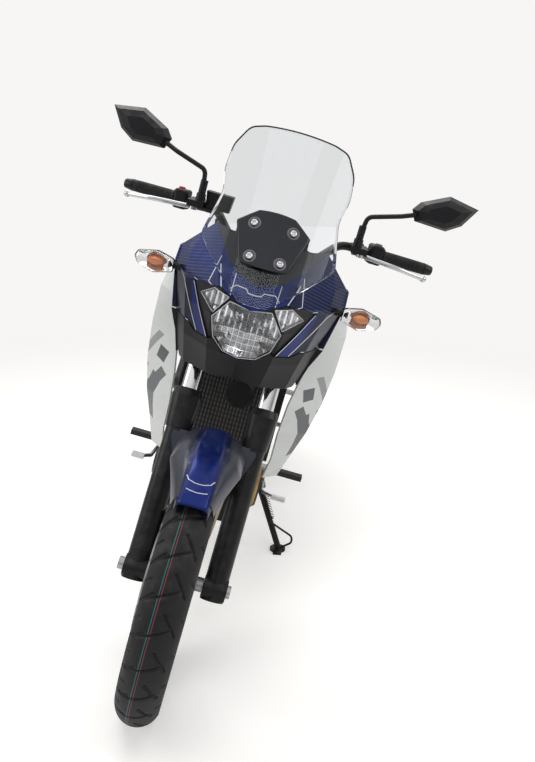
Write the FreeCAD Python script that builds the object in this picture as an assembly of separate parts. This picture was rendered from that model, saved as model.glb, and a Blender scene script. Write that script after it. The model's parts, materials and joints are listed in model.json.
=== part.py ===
import FreeCAD, Part
import math
import os

# Adventure motorcycle parked on its side stand. Lengths in millimetres, angles in degrees.
# It is drawn upright: X to the rider's left, Y to the rear, Z up, origin on the ground midway
# between the axles. The last step leans it over until both tyres and the stand touch the floor.

# Stance
wheelbase = 1450.0
rake = 24.3
trail = 108.0
lean = 13.8

# Fits and gaps
running_fit = 0.05
seat_gap = 0.3
panel_gap = 1.0

# Tyres and rims: radius over the tread, section width, depth of the round crown, bead seat radius
front_tyre_radius = 331.0
front_tyre_width = 100.0
front_crown_depth = 38.0
front_bead_radius = 241.0
front_rim_width = 74.0
rear_tyre_radius = 320.0
rear_tyre_width = 130.0
rear_crown_depth = 42.0
rear_bead_radius = 216.0
rear_rim_width = 96.0
rim_flange_height = 13.0
rim_flange_thickness = 4.0
rim_wall = 6.0
rim_well_depth = 14.0
spoke_count = 32
spoke_radius = 1.9
spoke_cross_angle = 48.0
hub_barrel_radius = 25.0
hub_flange_radius = 46.0
hub_flange_thickness = 5.0
front_hub_flange_reach = 28.0
rear_hub_flange_reach = 34.0

# Brakes and axles
axle_radius = 9.0
axle_nut_radius = 15.0
spacer_radius = 17.0
disc_thickness = 4.5
front_disc_radius = 145.0
front_disc_inner_radius = 52.0
front_disc_reach = 60.0
rear_disc_radius = 110.0
rear_disc_inner_radius = 44.0
rear_disc_reach = 76.0
disc_scallop_count = 10
disc_scallop_radius = 26.0
disc_scallop_depth = 5.0

# Final drive
chain_pitch = 15.875
rear_sprocket_teeth = 48
front_sprocket_teeth = 15
sprocket_thickness = 6.0
chain_line = 81.0
chain_width = 17.0
chain_height = 15.0
front_sprocket_y = 85.0
front_sprocket_z = 345.0

# Fork and steering
fork_spread = 95.0
fork_tube_radius = 20.5
fork_leg_radius = 28.0
fork_leg_bottom = -28.0
fork_leg_top = 400.0
fork_tube_top = 778.0
lower_yoke_bottom = 560.0
upper_yoke_bottom = 750.0
yoke_thickness = 26.0
stem_radius = 14.0
head_tube_radius = 28.0

# Handlebar
bar_radius = 11.1
bar_setback = 12.0
bar_height = 826.0
bar_flat = 95.0
bar_bend_reach = 170.0
bar_rise = 67.0
bar_pull = 100.0
bar_tube_end = 404.0
bar_end_pull = 148.0
bar_end_rise = 60.0
bar_weight_length = 26.0
grip_start = 285.0
grip_radius = 16.0

# Frame tubes
main_rail_radius = 17.0
down_tube_radius = 13.0
strut_radius = 10.0

# Frame plates that hold the swingarm pivot, and the rails under the seat
plate_inside = 105.3
plate_outside = 118.0
seat_rail_radius = 11.0
seat_rail_start = 190.0
seat_rail_end = 764.0
seat_base_height = 802.0
seat_base_slope = 0.125

# Engine, its left rear pocket holds the front sprocket
case_half_width = 118.0
cylinder_half_width = 110.0
cylinder_tilt = 18.0
head_front = 80.0
pocket_floor = 62.0

# Swingarm
pivot_y = 165.0
pivot_z = 348.0
swingarm_inside = 96.0
swingarm_wall = 26.0

# Side stand: pivot, foot placed ahead of it and out to the side so that the load holds it open
stand_pivot_x = 160.0
stand_pivot_y = 95.0
stand_pivot_z = 262.0
stand_foot_x = 283.0
stand_foot_y = 52.0
stand_leg_radius = 10.0
stand_foot_thickness = 8.0
stand_foot_radius = 26.0
stand_eye_half = 11.0
stand_pin_radius = 7.0

# Hubs, caliper and fork end
front_hub_left = 44.0
rear_sprocket_inner = 52.0
caliper_front = 36.0
fork_lug_half = 28.5

# Front fender
fender_inner_radius = 346.0
fender_thickness = 4.0
fender_half_width = 60.0
fender_front_angle = 36.0
fender_rear_angle = 52.0

# Levers and mirrors
lever_pivot_x = 226.0
lever_pivot_ahead = 48.0
lever_drop = 8.0
mirror_x = 208.0
mirror_y = -318.0
mirror_base_z = 1163.0

# Rear fender
rear_fender_half = 62.0

# Stay that carries the nose
stay_front = -612.0
stay_z = 932.0

# Radiator
radiator_y = -395.0
radiator_z = 548.0
radiator_tilt = 14.0
radiator_half_width = 118.0

# Swingarm beam
beam_y = 243.0
beam_z = 345.0
beam_radius = 26.0

# Fuel filler
cap_y = -150.0
cap_radius = 44.0
cap_seat_z = 1006.0
cap_thickness = 9.0
cap_hinge_ahead = 52.0

# Luggage rack, with four holes for M6 bolts
rack_half_width = 98.0
rack_front = 780.0
rack_rear = 908.0
rack_top = 946.0
rack_thickness = 10.0
rack_hole_x = 84.0
rack_hole_inset = 14.0
rack_hole_radius = 3.3

X_AXIS = FreeCAD.Vector(1, 0, 0)
Y_AXIS = FreeCAD.Vector(0, 1, 0)
Z_AXIS = FreeCAD.Vector(0, 0, 1)
ORIGIN = FreeCAD.Vector(0, 0, 0)

front_axle = FreeCAD.Vector(0, -wheelbase / 2, front_tyre_radius)
rear_axle = FreeCAD.Vector(0, wheelbase / 2, rear_tyre_radius)
rake_sine = math.sin(math.radians(rake))
rake_cosine = math.cos(math.radians(rake))
fork_offset = front_tyre_radius * rake_sine - trail * rake_cosine
cylinder_foot = FreeCAD.Vector(0, -75, 440)
fork_frame = FreeCAD.Placement(front_axle, FreeCAD.Rotation(X_AXIS, -rake))

nodes = {}


def point(x, y, z):
    return FreeCAD.Vector(x, y, z)


def in_fork(x, y, z):
    """A point given across, behind and up along the fork legs, from the front axle."""
    return fork_frame.multVec(point(x, y, z))


def put_in_fork(shape):
    """Moves a shape that was drawn upright at the origin onto the raked fork."""
    moved = shape.copy()
    moved.Placement = fork_frame.multiply(moved.Placement)
    return moved


def mirrored(shape):
    return shape.mirror(ORIGIN, X_AXIS)


def both_sides(shape):
    return [shape, mirrored(shape)]


def fused(shapes):
    joined = shapes[0].fuse(shapes[1:]) if len(shapes) > 1 else shapes[0]
    return joined.removeSplitter()


def block(x0, x1, y0, y1, z0, z1):
    return Part.makeBox(x1 - x0, y1 - y0, z1 - z0, point(x0, y0, z0))


def disc(centre, direction, radius, length):
    return Part.makeCylinder(radius, length, centre, direction)


def cross_tube(x0, x1, y, z, radius, bore=0.0):
    """A cylinder or tube across the bike."""
    body = disc(point(x0, y, z), X_AXIS, radius, x1 - x0)
    if bore:
        body = body.cut(disc(point(x0 - 1, y, z), X_AXIS, bore, x1 - x0 + 2))
    return body


def outline_face(points):
    return Part.Face(Part.makePolygon(points + [points[0]]))


def side_plate(outline, x0, x1):
    """A plate between two x values from a side outline of (y, z) points."""
    face = outline_face([point(x0, y, z) for y, z in outline])
    return face.extrude(point(x1 - x0, 0, 0))


def front_prism(outline, y0, y1, grow=0.0):
    """A prism along Y from a front outline of (x, z) points, grown outwards by a gap."""
    face = outline_face([point(x, y0, z) for x, z in outline])
    if grow:
        face = face.makeOffset2D(grow)
    return face.extrude(point(0, y1 - y0, 0))


def mirror_outline(half):
    """Closes a half outline, listed from the top to the bottom, about the middle plane."""
    other = [(-x, z) for x, z in reversed(half) if x > 0]
    return half + other


def loft(sections):
    """A solid with straight rulings through polygons with the same number of points."""
    wires = [Part.makePolygon(section + [section[0]]) for section in sections]
    return Part.makeLoft(wires, True, True)


def turned(profile, centre=ORIGIN):
    """A ring or disc about an axis across the bike, from (x, radius) points."""
    face = outline_face([point(x, 0, radius) for x, radius in profile])
    ring = face.revolve(ORIGIN, X_AXIS, 360)
    ring.translate(centre)
    return ring


def bent_path(corners, bend):
    """Straight runs through the corners, joined by tangent arcs of the bend radius."""
    edges = []
    start = corners[0]
    for before, corner, after in zip(corners, corners[1:], corners[2:]):
        back = (before - corner).normalize()
        ahead = (after - corner).normalize()
        half_angle = back.getAngle(ahead) / 2
        reach = bend / math.tan(half_angle)
        middle = corner + (back + ahead).normalize() * (bend / math.sin(half_angle) - bend)
        edges.append(Part.LineSegment(start, corner + back * reach).toShape())
        edges.append(Part.Arc(corner + back * reach, middle, corner + ahead * reach).toShape())
        start = corner + ahead * reach
    edges.append(Part.LineSegment(start, corners[-1]).toShape())
    return Part.Wire(edges)


def rod(corners, radius, bend=0.0):
    """A round bar or pipe along a bent path."""
    run = corners[1] - corners[0]
    if len(corners) == 2:
        return disc(corners[0], run, radius, run.Length)
    ring = Part.Wire([Part.makeCircle(radius, corners[0], run)])
    return bent_path(corners, bend).makePipeShell([ring], True, False)


def add(name, *shapes):
    """Stores the solids of one node."""
    solids = []
    for shape in shapes:
        solids.extend(shape.Solids)
    nodes[name] = Part.makeCompound(solids) if len(solids) > 1 else solids[0]


# Wheels


def tyre(radius, width, crown_depth, bead_radius, rim_width, centre):
    """A tyre with a round crown, drawn as a closed ring that seats between the rim flanges."""
    shoulder = radius - crown_depth
    lip = bead_radius + rim_flange_height + panel_gap
    bead = rim_width / 2 - rim_flange_thickness - seat_gap
    belly = (shoulder + lip) / 2
    side_bulge = 2.0
    corners = [point(-width / 2, 0, shoulder), point(width / 2, 0, shoulder)]
    left_lip = point(rim_width / 2 + side_bulge, 0, lip)
    right_lip = point(-rim_width / 2 - side_bulge, 0, lip)
    left_belly = point(width / 2 - side_bulge, 0, belly)
    right_belly = point(-width / 2 + side_bulge, 0, belly)
    seat = bead_radius + seat_gap
    chain = [left_lip, point(bead, 0, lip), point(bead, 0, seat), point(-bead, 0, seat), point(-bead, 0, lip), right_lip]
    edges = [Part.Arc(corners[0], point(0, 0, radius), corners[1]).toShape()]
    edges.append(Part.LineSegment(corners[1], left_belly).toShape())
    edges.append(Part.LineSegment(left_belly, left_lip).toShape())
    edges.extend(Part.LineSegment(a, b).toShape() for a, b in zip(chain, chain[1:]))
    edges.append(Part.LineSegment(right_lip, right_belly).toShape())
    edges.append(Part.LineSegment(right_belly, corners[0]).toShape())
    ring = Part.Face(Part.Wire(edges)).revolve(ORIGIN, X_AXIS, 360)
    ring.translate(centre)
    return ring


def rim(bead_radius, rim_width):
    """A drop-centre rim, as a ring about X."""
    half = rim_width / 2
    inside = half - rim_flange_thickness
    well = half * 0.42
    top = bead_radius + rim_flange_height
    bottom = bead_radius - rim_well_depth
    profile = [(half, top), (inside, top), (inside, bead_radius), (well + 6, bead_radius), (well, bottom)]
    profile += [(-x, r) for x, r in reversed(profile)]
    profile += [(-half, bead_radius - rim_wall), (-well, bottom - rim_wall)]
    profile += [(well, bottom - rim_wall), (half, bead_radius - rim_wall)]
    return turned(profile)


def spokes(bead_radius, flange_reach):
    """Crossed wire spokes from the hub flanges to the rim's well."""
    wires = []
    rim_radius = bead_radius - rim_well_depth - rim_wall / 2
    hub_radius = hub_flange_radius - 5
    for number in range(spoke_count):
        side = 1 if number % 2 else -1
        turn = 1 if number % 4 < 2 else -1
        rim_angle = 2 * math.pi * number / spoke_count
        hub_angle = rim_angle + turn * math.radians(spoke_cross_angle)
        inner_x = side * (flange_reach + turn * hub_flange_thickness * 0.6)
        outer_x = side * (6 + turn * 2)
        start = point(inner_x, hub_radius * math.cos(hub_angle), hub_radius * math.sin(hub_angle))
        end = point(outer_x, rim_radius * math.cos(rim_angle), rim_radius * math.sin(rim_angle))
        wires.append(rod([start, end], spoke_radius))
    return wires


def hub(flange_reach, reach_right, right_radius, reach_left, left_radius):
    """Barrel, spoke flanges and the end flanges that carry the disc and the sprocket."""
    inner = flange_reach - hub_flange_thickness / 2
    outer = flange_reach + hub_flange_thickness / 2
    profile = [(-reach_right, right_radius), (-reach_right + 7, right_radius), (-reach_right + 7, hub_barrel_radius)]
    profile += [(-outer, hub_barrel_radius), (-outer, hub_flange_radius), (-inner, hub_flange_radius)]
    profile += [(-inner, hub_barrel_radius), (inner, hub_barrel_radius), (inner, hub_flange_radius)]
    profile += [(outer, hub_flange_radius), (outer, hub_barrel_radius), (reach_left - 7, hub_barrel_radius)]
    profile += [(reach_left - 7, left_radius), (reach_left, left_radius)]
    bore = axle_radius + running_fit
    profile += [(reach_left, bore), (-reach_right, bore)]
    return turned(profile)


def wire_wheel(bead_radius, rim_width, flange_reach, hub_body, centre):
    wheel = rim(bead_radius, rim_width).fuse([hub_body] + spokes(bead_radius, flange_reach))
    wheel.translate(centre)
    return wheel


def brake_disc(outer, inner, reach, centre):
    """A petal disc: a flat ring with scallops cut round its edge."""
    face_x = -reach - disc_thickness / 2
    ring = cross_tube(face_x, face_x + disc_thickness, 0, 0, outer, inner)
    cutters = []
    for number in range(disc_scallop_count):
        angle = 2 * math.pi * number / disc_scallop_count
        distance = outer + disc_scallop_radius - disc_scallop_depth
        where = point(face_x - 1, distance * math.cos(angle), distance * math.sin(angle))
        cutters.append(disc(where, X_AXIS, disc_scallop_radius, disc_thickness + 2))
    ring = ring.cut(cutters)
    ring.translate(centre)
    return ring


def pitch_radius(teeth):
    return chain_pitch / (2 * math.sin(math.pi / teeth))


def rear_sprocket():
    """A toothed ring: round gaps on the pitch circle, cut from a disc."""
    root = pitch_radius(rear_sprocket_teeth) - chain_height / 2 - 1
    x0 = chain_line - sprocket_thickness / 2
    ring = cross_tube(x0, x0 + sprocket_thickness, 0, 0, root, rear_sprocket_inner)
    ring.translate(rear_axle)
    return ring


def front_wheel():
    right_face = front_disc_reach - disc_thickness / 2 - seat_gap
    hub_body = hub(front_hub_flange_reach, right_face, front_disc_inner_radius + 8, front_hub_left, hub_barrel_radius)
    add("front_wheel_rim", wire_wheel(front_bead_radius, front_rim_width, front_hub_flange_reach, hub_body, front_axle))
    add("front_tyre", tyre(front_tyre_radius, front_tyre_width, front_crown_depth, front_bead_radius,
                           front_rim_width, front_axle))
    add("front_brake_disc", brake_disc(front_disc_radius, front_disc_inner_radius, front_disc_reach, front_axle))


def rear_wheel():
    right_face = rear_disc_reach - disc_thickness / 2 - seat_gap
    left_face = chain_line - sprocket_thickness / 2 - seat_gap
    hub_body = hub(rear_hub_flange_reach, right_face, rear_disc_inner_radius + 8, left_face, rear_sprocket_inner + 8)
    add("rear_wheel_rim", wire_wheel(rear_bead_radius, rear_rim_width, rear_hub_flange_reach, hub_body, rear_axle))
    add("rear_tyre", tyre(rear_tyre_radius, rear_tyre_width, rear_crown_depth, rear_bead_radius,
                          rear_rim_width, rear_axle))
    add("rear_disc_and_sprocket", brake_disc(rear_disc_radius, rear_disc_inner_radius, rear_disc_reach, rear_axle),
        rear_sprocket())


# Fork and steering


def fork():
    leg_length = fork_leg_top - fork_leg_bottom
    tube_bore = fork_tube_radius + running_fit
    axle_bore = disc(point(-200, 0, 0), X_AXIS, axle_radius + running_fit, 400)
    legs = []
    for side in (-1, 1):
        x = side * fork_spread
        leg = disc(point(x, 0, fork_leg_bottom), Z_AXIS, fork_leg_radius, leg_length)
        lug = disc(point(x - fork_lug_half, -6, 0), X_AXIS, 26, 2 * fork_lug_half)
        guard = Part.makeCone(fork_leg_radius + 3, fork_leg_radius + 9, 80, point(x, 0, 338), Z_AXIS)
        guard_cap = Part.makeCone(fork_leg_radius + 9, fork_leg_radius + 4, 18, point(x, 0, 418), Z_AXIS)
        parts = [leg, lug, guard, guard_cap]
        if side < 0:
            parts.append(block(x - 4, x + 20, 20, caliper_front - seat_gap, 66, 88))
            parts.append(block(x - 4, x + 20, 20, caliper_front - seat_gap, 128, 150))
        body = fused(parts).cut(axle_bore)
        body = body.cut(disc(point(x, 0, 200), Z_AXIS, tube_bore, 300))
        legs.append(put_in_fork(body))
    add("fork_legs", *legs)
    tubes = [put_in_fork(disc(point(side * fork_spread, 0, 200 + seat_gap), Z_AXIS, fork_tube_radius,
                              fork_tube_top - 200)) for side in (-1, 1)]
    add("fork_tubes", *tubes)


def yokes():
    """Both yokes with the stem between them and the two handlebar clamps on top."""
    tube_bore = fork_tube_radius + running_fit
    clamp = fork_tube_radius + 11
    parts = []
    for bottom in (lower_yoke_bottom, upper_yoke_bottom):
        web = [point(-fork_spread, -clamp * 0.7, bottom), point(fork_spread, -clamp * 0.7, bottom)]
        web += [point(fork_spread, clamp * 0.7, bottom), point(30, fork_offset + 26, bottom)]
        web += [point(-30, fork_offset + 26, bottom), point(-fork_spread, clamp * 0.7, bottom)]
        parts.append(outline_face(web).extrude(point(0, 0, yoke_thickness)))
        for side in (-1, 1):
            parts.append(disc(point(side * fork_spread, 0, bottom), Z_AXIS, clamp, yoke_thickness))
    stem_start = lower_yoke_bottom + 1
    parts.append(disc(point(0, fork_offset, stem_start), Z_AXIS, stem_radius, upper_yoke_bottom - stem_start + 1))
    top = upper_yoke_bottom + yoke_thickness
    for side in (-1, 1):
        x = side * 45
        parts.append(block(x - 14, x + 14, bar_setback + 16, bar_setback + 60, top - 1, bar_height + 16))
    body = fused(parts)
    for side in (-1, 1):
        body = body.cut(disc(point(side * fork_spread, 0, 500), Z_AXIS, tube_bore, 400))
    body = body.cut(disc(point(-100, fork_offset + bar_setback, bar_height), X_AXIS, bar_radius + running_fit, 200))
    add("fork_yokes", put_in_fork(body))


def front_axle_bolt():
    nut_face = fork_spread + fork_lug_half + seat_gap
    shaft = cross_tube(-nut_face - 14, nut_face + 2, 0, 0, axle_radius)
    right_nut = cross_tube(-nut_face - 14, -nut_face, 0, 0, axle_nut_radius)
    left_nut = cross_tube(nut_face, nut_face + 9, 0, 0, axle_nut_radius)
    left_spacer = cross_tube(front_hub_left + seat_gap, fork_spread - fork_leg_radius - 1, 0, 0, spacer_radius)
    bolt = fused([shaft, right_nut, left_nut, left_spacer])
    bolt.translate(front_axle)
    add("front_axle", bolt)


def front_caliper():
    """A two-piston floating caliper behind the right fork leg, slotted over the disc."""
    body = block(-92, -42, caliper_front, caliper_front + 52, 62, 154)
    body = body.makeFillet(9, body.Edges)
    slot = cross_tube(-front_disc_reach - disc_thickness / 2 - 2, -front_disc_reach + disc_thickness / 2 + 2,
                      0, 0, front_disc_radius + 4)
    add("front_caliper", put_in_fork(body.cut(slot)))


# Front fender and its braces


def fender_arch():
    """A crowned strip round the tyre, between two angles from the vertical."""
    crown = [(0, 10), (32, 6), (52, -4), (fender_half_width, -24)]
    outside = [(-x, fender_inner_radius + fender_thickness + rise) for x, rise in reversed(crown[1:])]
    outside += [(x, fender_inner_radius + fender_thickness + rise) for x, rise in crown]
    inside = [(x - math.copysign(fender_thickness, x) * (abs(x) > 50), r - fender_thickness) for x, r in reversed(outside)]
    face = outline_face([point(x, 0, r) for x, r in outside + inside])
    face.rotate(ORIGIN, X_AXIS, fender_front_angle)
    arch = face.revolve(ORIGIN, X_AXIS, -fender_front_angle - fender_rear_angle)
    arch.translate(front_axle)
    return arch


def front_fender():
    arch = fender_arch()
    beak_y = front_axle.y - fender_inner_radius * math.sin(math.radians(fender_front_angle))
    for side in (-1, 1):
        nose = outline_face([point(side * 20, beak_y - 60, 300), point(side * 90, beak_y - 60, 300),
                             point(side * 90, beak_y + 85, 300)])
        arch = arch.cut(nose.extrude(point(0, 0, 600)))
    add("front_fender", arch)


def fender_braces():
    """Grey side pieces that carry the fender and reach round in front of each fork leg."""
    inner = fender_half_width + seat_gap
    front = -fork_leg_radius - 8
    shield = [(inner, 262), (84, 262), (103, 318), (101, 336), (inner, 336)]
    face = outline_face([point(x, front, z) for x, z in shield])
    plate = face.extrude(point(0, 8 - 1.5, 0))
    rib = block(inner, inner + 4, front, 20, 285, 330)
    lug = block(inner, fork_spread - fork_leg_radius + 6, -14, 14, 296, 318)
    brace = fused([plate, rib, lug])
    brace = brace.cut(disc(point(fork_spread, 0, 200), Z_AXIS, fork_leg_radius + seat_gap, 137))
    brace = brace.cut(disc(point(fork_spread, 0, 330), Z_AXIS, fork_leg_radius + 9, 40))
    add("fender_braces", *both_sides(put_in_fork(brace)))


# Handlebar and its controls


bar_centre = in_fork(0, fork_offset + bar_setback, bar_height)


def bar_point(x):
    """A point on the outer, straight run of the left half of the bar."""
    share = (x - bar_bend_reach) / (bar_tube_end - bar_bend_reach)
    pull = bar_pull + (bar_end_pull - bar_pull) * share
    rise = bar_rise + (bar_end_rise - bar_rise) * share
    return bar_centre + point(x, pull, rise)


def on_bar(shape, x):
    """Moves a shape drawn along Z, with +Y to the rear, to the left half of the bar."""
    run = (bar_point(bar_tube_end) - bar_point(bar_bend_reach)).normalize()
    ahead = FreeCAD.Rotation(run.cross(Z_AXIS) * -1, Z_AXIS.cross(run) * 1, run, "ZYX")
    moved = shape.copy()
    moved.Placement = FreeCAD.Placement(bar_point(x), ahead).multiply(moved.Placement)
    return moved


def handlebar():
    half = [bar_centre + point(bar_flat, 0, 0), bar_point(bar_bend_reach), bar_point(bar_tube_end)]
    corners = [point(-p.x, p.y, p.z) for p in reversed(half)] + half
    add("handlebar", rod(corners, bar_radius, 60))


def grips():
    """Ribbed sleeves on the bar with the steel end weights."""
    bore = bar_radius + seat_gap
    length = (bar_point(bar_tube_end) - bar_point(grip_start)).Length
    sleeve = disc(ORIGIN, Z_AXIS, grip_radius, length)
    flange = disc(ORIGIN, Z_AXIS, grip_radius + 4, 5)
    body = fused([sleeve, flange]).cut(disc(point(0, 0, -1), Z_AXIS, bore, length + 1 + seat_gap))
    end = Part.makeCone(grip_radius, grip_radius - 4, bar_weight_length, point(0, 0, length + seat_gap), Z_AXIS)
    body = fused([body, disc(point(0, 0, length - 2), Z_AXIS, grip_radius, 3).cut(
        disc(point(0, 0, length - 3), Z_AXIS, bore, 3 + seat_gap)), end])
    add("hand_grips", *both_sides(on_bar(body, grip_start)))


def switch_housings():
    body = block(-26, 26, -24, 20, -38, 0)
    body = body.makeFillet(8, body.Edges)
    body = body.cut(disc(point(0, 0, -50), Z_AXIS, bar_radius + seat_gap, 100))
    add("switch_housings", *both_sides(on_bar(body, grip_start - seat_gap)))


def controls():
    """Clamps that hold the levers and mirrors, the right one with the brake fluid reservoir."""
    pivot = bar_point(lever_pivot_x) + point(0, -lever_pivot_ahead - 4, -lever_drop)
    clamp = on_bar(disc(point(0, 0, -11), Z_AXIS, 18, 22), lever_pivot_x - 8)
    arm_centre = bar_point(lever_pivot_x - 8)
    arm = block(arm_centre.x - 22, arm_centre.x + 20, mirror_y - 14, arm_centre.y - 8,
                arm_centre.z - 2, arm_centre.z + 14)
    boss_centre = point(mirror_x, mirror_y, arm_centre.z + 10)
    boss = disc(boss_centre, Z_AXIS, 12, mirror_base_z - seat_gap - boss_centre.z)
    bar_hole = on_bar(disc(point(0, 0, -100), Z_AXIS, bar_radius + seat_gap, 200), lever_pivot_x - 8)
    left = fused([clamp, arm, boss]).cut(bar_hole)
    reservoir_top = arm_centre.z + 44
    reservoir = loft([[point(130, arm_centre.y - 78, reservoir_top - 42), point(192, arm_centre.y - 70, reservoir_top - 42),
                       point(192, arm_centre.y - 34, reservoir_top - 42), point(130, arm_centre.y - 42, reservoir_top - 42)],
                      [point(126, arm_centre.y - 84, reservoir_top), point(198, arm_centre.y - 76, reservoir_top),
                       point(198, arm_centre.y - 28, reservoir_top), point(126, arm_centre.y - 36, reservoir_top)]])
    cylinder = rod([point(205, arm_centre.y - 46, arm_centre.z), point(150, arm_centre.y - 56, arm_centre.z)], 12)
    right = fused([clamp, arm, boss, reservoir, cylinder]).cut(bar_hole)
    add("lever_perches", left, mirrored(right))
    eye = disc(pivot - point(0, 0, 6), Z_AXIS, 10, 12)
    blade = rod([pivot, pivot + point(96, -22, -4), pivot + point(178, 22, -16)], 6, 60)
    ball = Part.makeSphere(9, pivot + point(178, 22, -16))
    lever = fused([eye, blade, ball])
    lever.translate(point(0, 0, arm_centre.z - 2 - seat_gap - (pivot.z + 6)))
    add("levers", *both_sides(lever))


def mirrors():
    """Stalk with its rubber boot and the six-sided housing that faces the rider."""
    boot = disc(point(mirror_x, mirror_y, mirror_base_z), Z_AXIS, 9.5, 34)
    stalk = rod([point(mirror_x, mirror_y, mirror_base_z + 20), point(mirror_x + 5, mirror_y, 1222),
                 point(292, -318, 1246), point(352, -300, 1268)], 6, 18)
    rear_outline = [(316, 1270), (332, 1292), (400, 1325), (480, 1312), (450, 1262), (414, 1239), (330, 1243)]
    middle_x = sum(x for x, z in rear_outline) / len(rear_outline)
    middle_z = sum(z for x, z in rear_outline) / len(rear_outline)
    rows = []
    for depth, share in ((0, 1.0), (-12, 1.0), (-30, 0.82), (-40, 0.5)):
        row = []
        for x, z in rear_outline:
            across = middle_x + (x - middle_x) * share
            row.append(point(across, -282 + depth + (across - middle_x) * 0.16, middle_z + (z - middle_z) * share))
        rows.append(row)
    add("mirrors", *both_sides(fused([boot, stalk, loft(rows)])))


# Frame, engine and drive


def seat_base(y):
    """Height of the seat's flat underside."""
    return seat_base_height + (y - seat_rail_start) * seat_base_slope


def seat_rail_point(x, y):
    """Centre of a seat rail, just under the seat's base."""
    return point(x, y, seat_base(y) - (seat_rail_radius + seat_gap) * math.hypot(1, seat_base_slope))


def strut_line():
    """Ends of the left strut between the engine plate and the seat rail."""
    return [point(116, 110, 560), seat_rail_point(91, 470)]


def strut_point(y):
    start, end = strut_line()
    return start + (end - start) * ((y - start.y) / (end.y - start.y))


def down_tube(grow=0.0):
    """The left down tube ahead of the engine."""
    return rod([in_fork(14, fork_offset + 20, 630), point(72, -290, 720), point(84, -255, 520)],
               down_tube_radius + grow, 60)


def frame():
    """Head tube, twin rails, engine plates, down tubes, rear loop and the stay that carries the nose."""
    head = disc(point(0, fork_offset, lower_yoke_bottom + yoke_thickness + seat_gap), Z_AXIS, head_tube_radius,
                upper_yoke_bottom - lower_yoke_bottom - yoke_thickness - 2 * seat_gap)
    head = put_in_fork(head)
    rail = rod([in_fork(18, fork_offset + 12, 650), point(84, -310, 842), point(118, -60, 770),
                point(118, 90, 600), point(112, 132, 460)], main_rail_radius, 60)
    down = down_tube()
    plate = side_plate([(110, 480), (205, 440), (205, 330), (170, 250), (120, 262), (110, 330)],
                       plate_inside, plate_outside)
    seat_rail = rod([point(116, 10, 712), seat_rail_point(96, seat_rail_start), seat_rail_point(84, seat_rail_end)],
                    seat_rail_radius, 90)
    strut = rod(strut_line(), strut_radius)
    rear_bar = seat_rail_point(0, seat_rail_end - 6)
    front_bar = seat_rail_point(0, 300)
    cross = [cross_tube(-116, 116, 96, 592, 12), cross_tube(-94, 94, front_bar.y, front_bar.z, 10),
             cross_tube(-84, 84, rear_bar.y, rear_bar.z, 10)]
    pivot_bolt = cross_tube(-120, 120, pivot_y, pivot_z, 10)
    sides = []
    for piece in (rail, down, plate, seat_rail, strut):
        sides.extend(both_sides(piece))
    bore = put_in_fork(disc(point(0, fork_offset, 500), Z_AXIS, stem_radius + running_fit, 400))
    stay_root = in_fork(0, 12, 660)
    stay = block(-15, 15, stay_front, stay_root.y, stay_z - 12, stay_z + 12)
    stay_bar = block(-80, 80, stay_front, stay_front + 18, stay_z - 30, stay_z + 12)
    body = fused([head, stay, stay_bar] + sides + cross + [pivot_bolt] + stand_bracket())
    add("frame_tubes", body.cut(bore))


def engine():
    """Crankcase with the sprocket pocket, and the tilted twin cylinder block, head and cover."""
    case = side_plate([(-212, 300), (-195, 236), (-120, 222), (95, 228), (104, 262), (104, 430), (60, 456),
                       (-110, 456), (-200, 420)], -case_half_width + 13, case_half_width - 13)
    pocket = block(pocket_floor, 200, front_sprocket_y - 55, 250, front_sprocket_z - 60, front_sprocket_z + 60)
    tilt = FreeCAD.Rotation(X_AXIS, cylinder_tilt)
    stack = []
    tiers = ((cylinder_half_width, -72, 72, 0, 112), (cylinder_half_width + 6, -head_front, 78, 112, 180),
             (cylinder_half_width - 8, -66, 64, 180, 216))
    for half_width, y0, y1, z0, z1 in tiers:
        tier = block(-half_width, half_width, y0, y1, z0, z1)
        tier.Placement = FreeCAD.Placement(cylinder_foot, tilt).multiply(tier.Placement)
        stack.append(tier)
    add("engine", fused([case.cut(pocket)] + stack))


def engine_covers():
    """Round side covers: generator and sprocket on the left, clutch on the right."""
    face = case_half_width - 13 + seat_gap
    left = cross_tube(face, face + 40, -70, 322, 68)
    left_cap = Part.makeCone(68, 58, 12, point(face + 40, -70, 322), X_AXIS)
    right = cross_tube(face, face + 58, -60, 332, 72)
    right_cap = Part.makeCone(72, 60, 14, point(face + 58, -60, 332), X_AXIS)
    add("engine_covers", fused([left, left_cap]), mirrored(fused([right, right_cap])))


def radiator():
    """Core with side tanks, leaning back with the fork."""
    half = radiator_half_width
    core = block(-half, half, 0, 26, 0, 190)
    tanks = both_sides(block(half - 1, half + 22, -4, 32, -6, 196))
    body = fused([core] + tanks)
    leaned_back = FreeCAD.Rotation(X_AXIS, -radiator_tilt)
    body.Placement = FreeCAD.Placement(point(0, radiator_y, radiator_z), leaned_back)
    bracket = block(68, 82, -344, -284, 662, 674).cut(down_tube(seat_gap))
    bracket = max(bracket.Solids, key=lambda solid: -solid.BoundBox.YMin)
    add("radiator", fused([body] + both_sides(bracket)))


def horn():
    direction = point(0, -1, 0.25)
    shell = Part.makeCone(37, 30, 20, point(26, -428, 716), direction)
    back = disc(point(26, -428, 716), direction * -1, 16, 16)
    strap_z = 728
    radiator_face = radiator_y + (strap_z - radiator_z) * math.tan(math.radians(radiator_tilt))
    bracket = block(14, 38, -414, radiator_face - seat_gap, strap_z, strap_z + 5)
    add("horn", fused([shell, back, bracket]))


def head_port(x, out):
    """A point at a distance out from the front face of the cylinder head, at an exhaust port."""
    lean_back = FreeCAD.Rotation(X_AXIS, cylinder_tilt)
    return cylinder_foot + lean_back.multVec(point(x, -head_front - out, 146))


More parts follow.
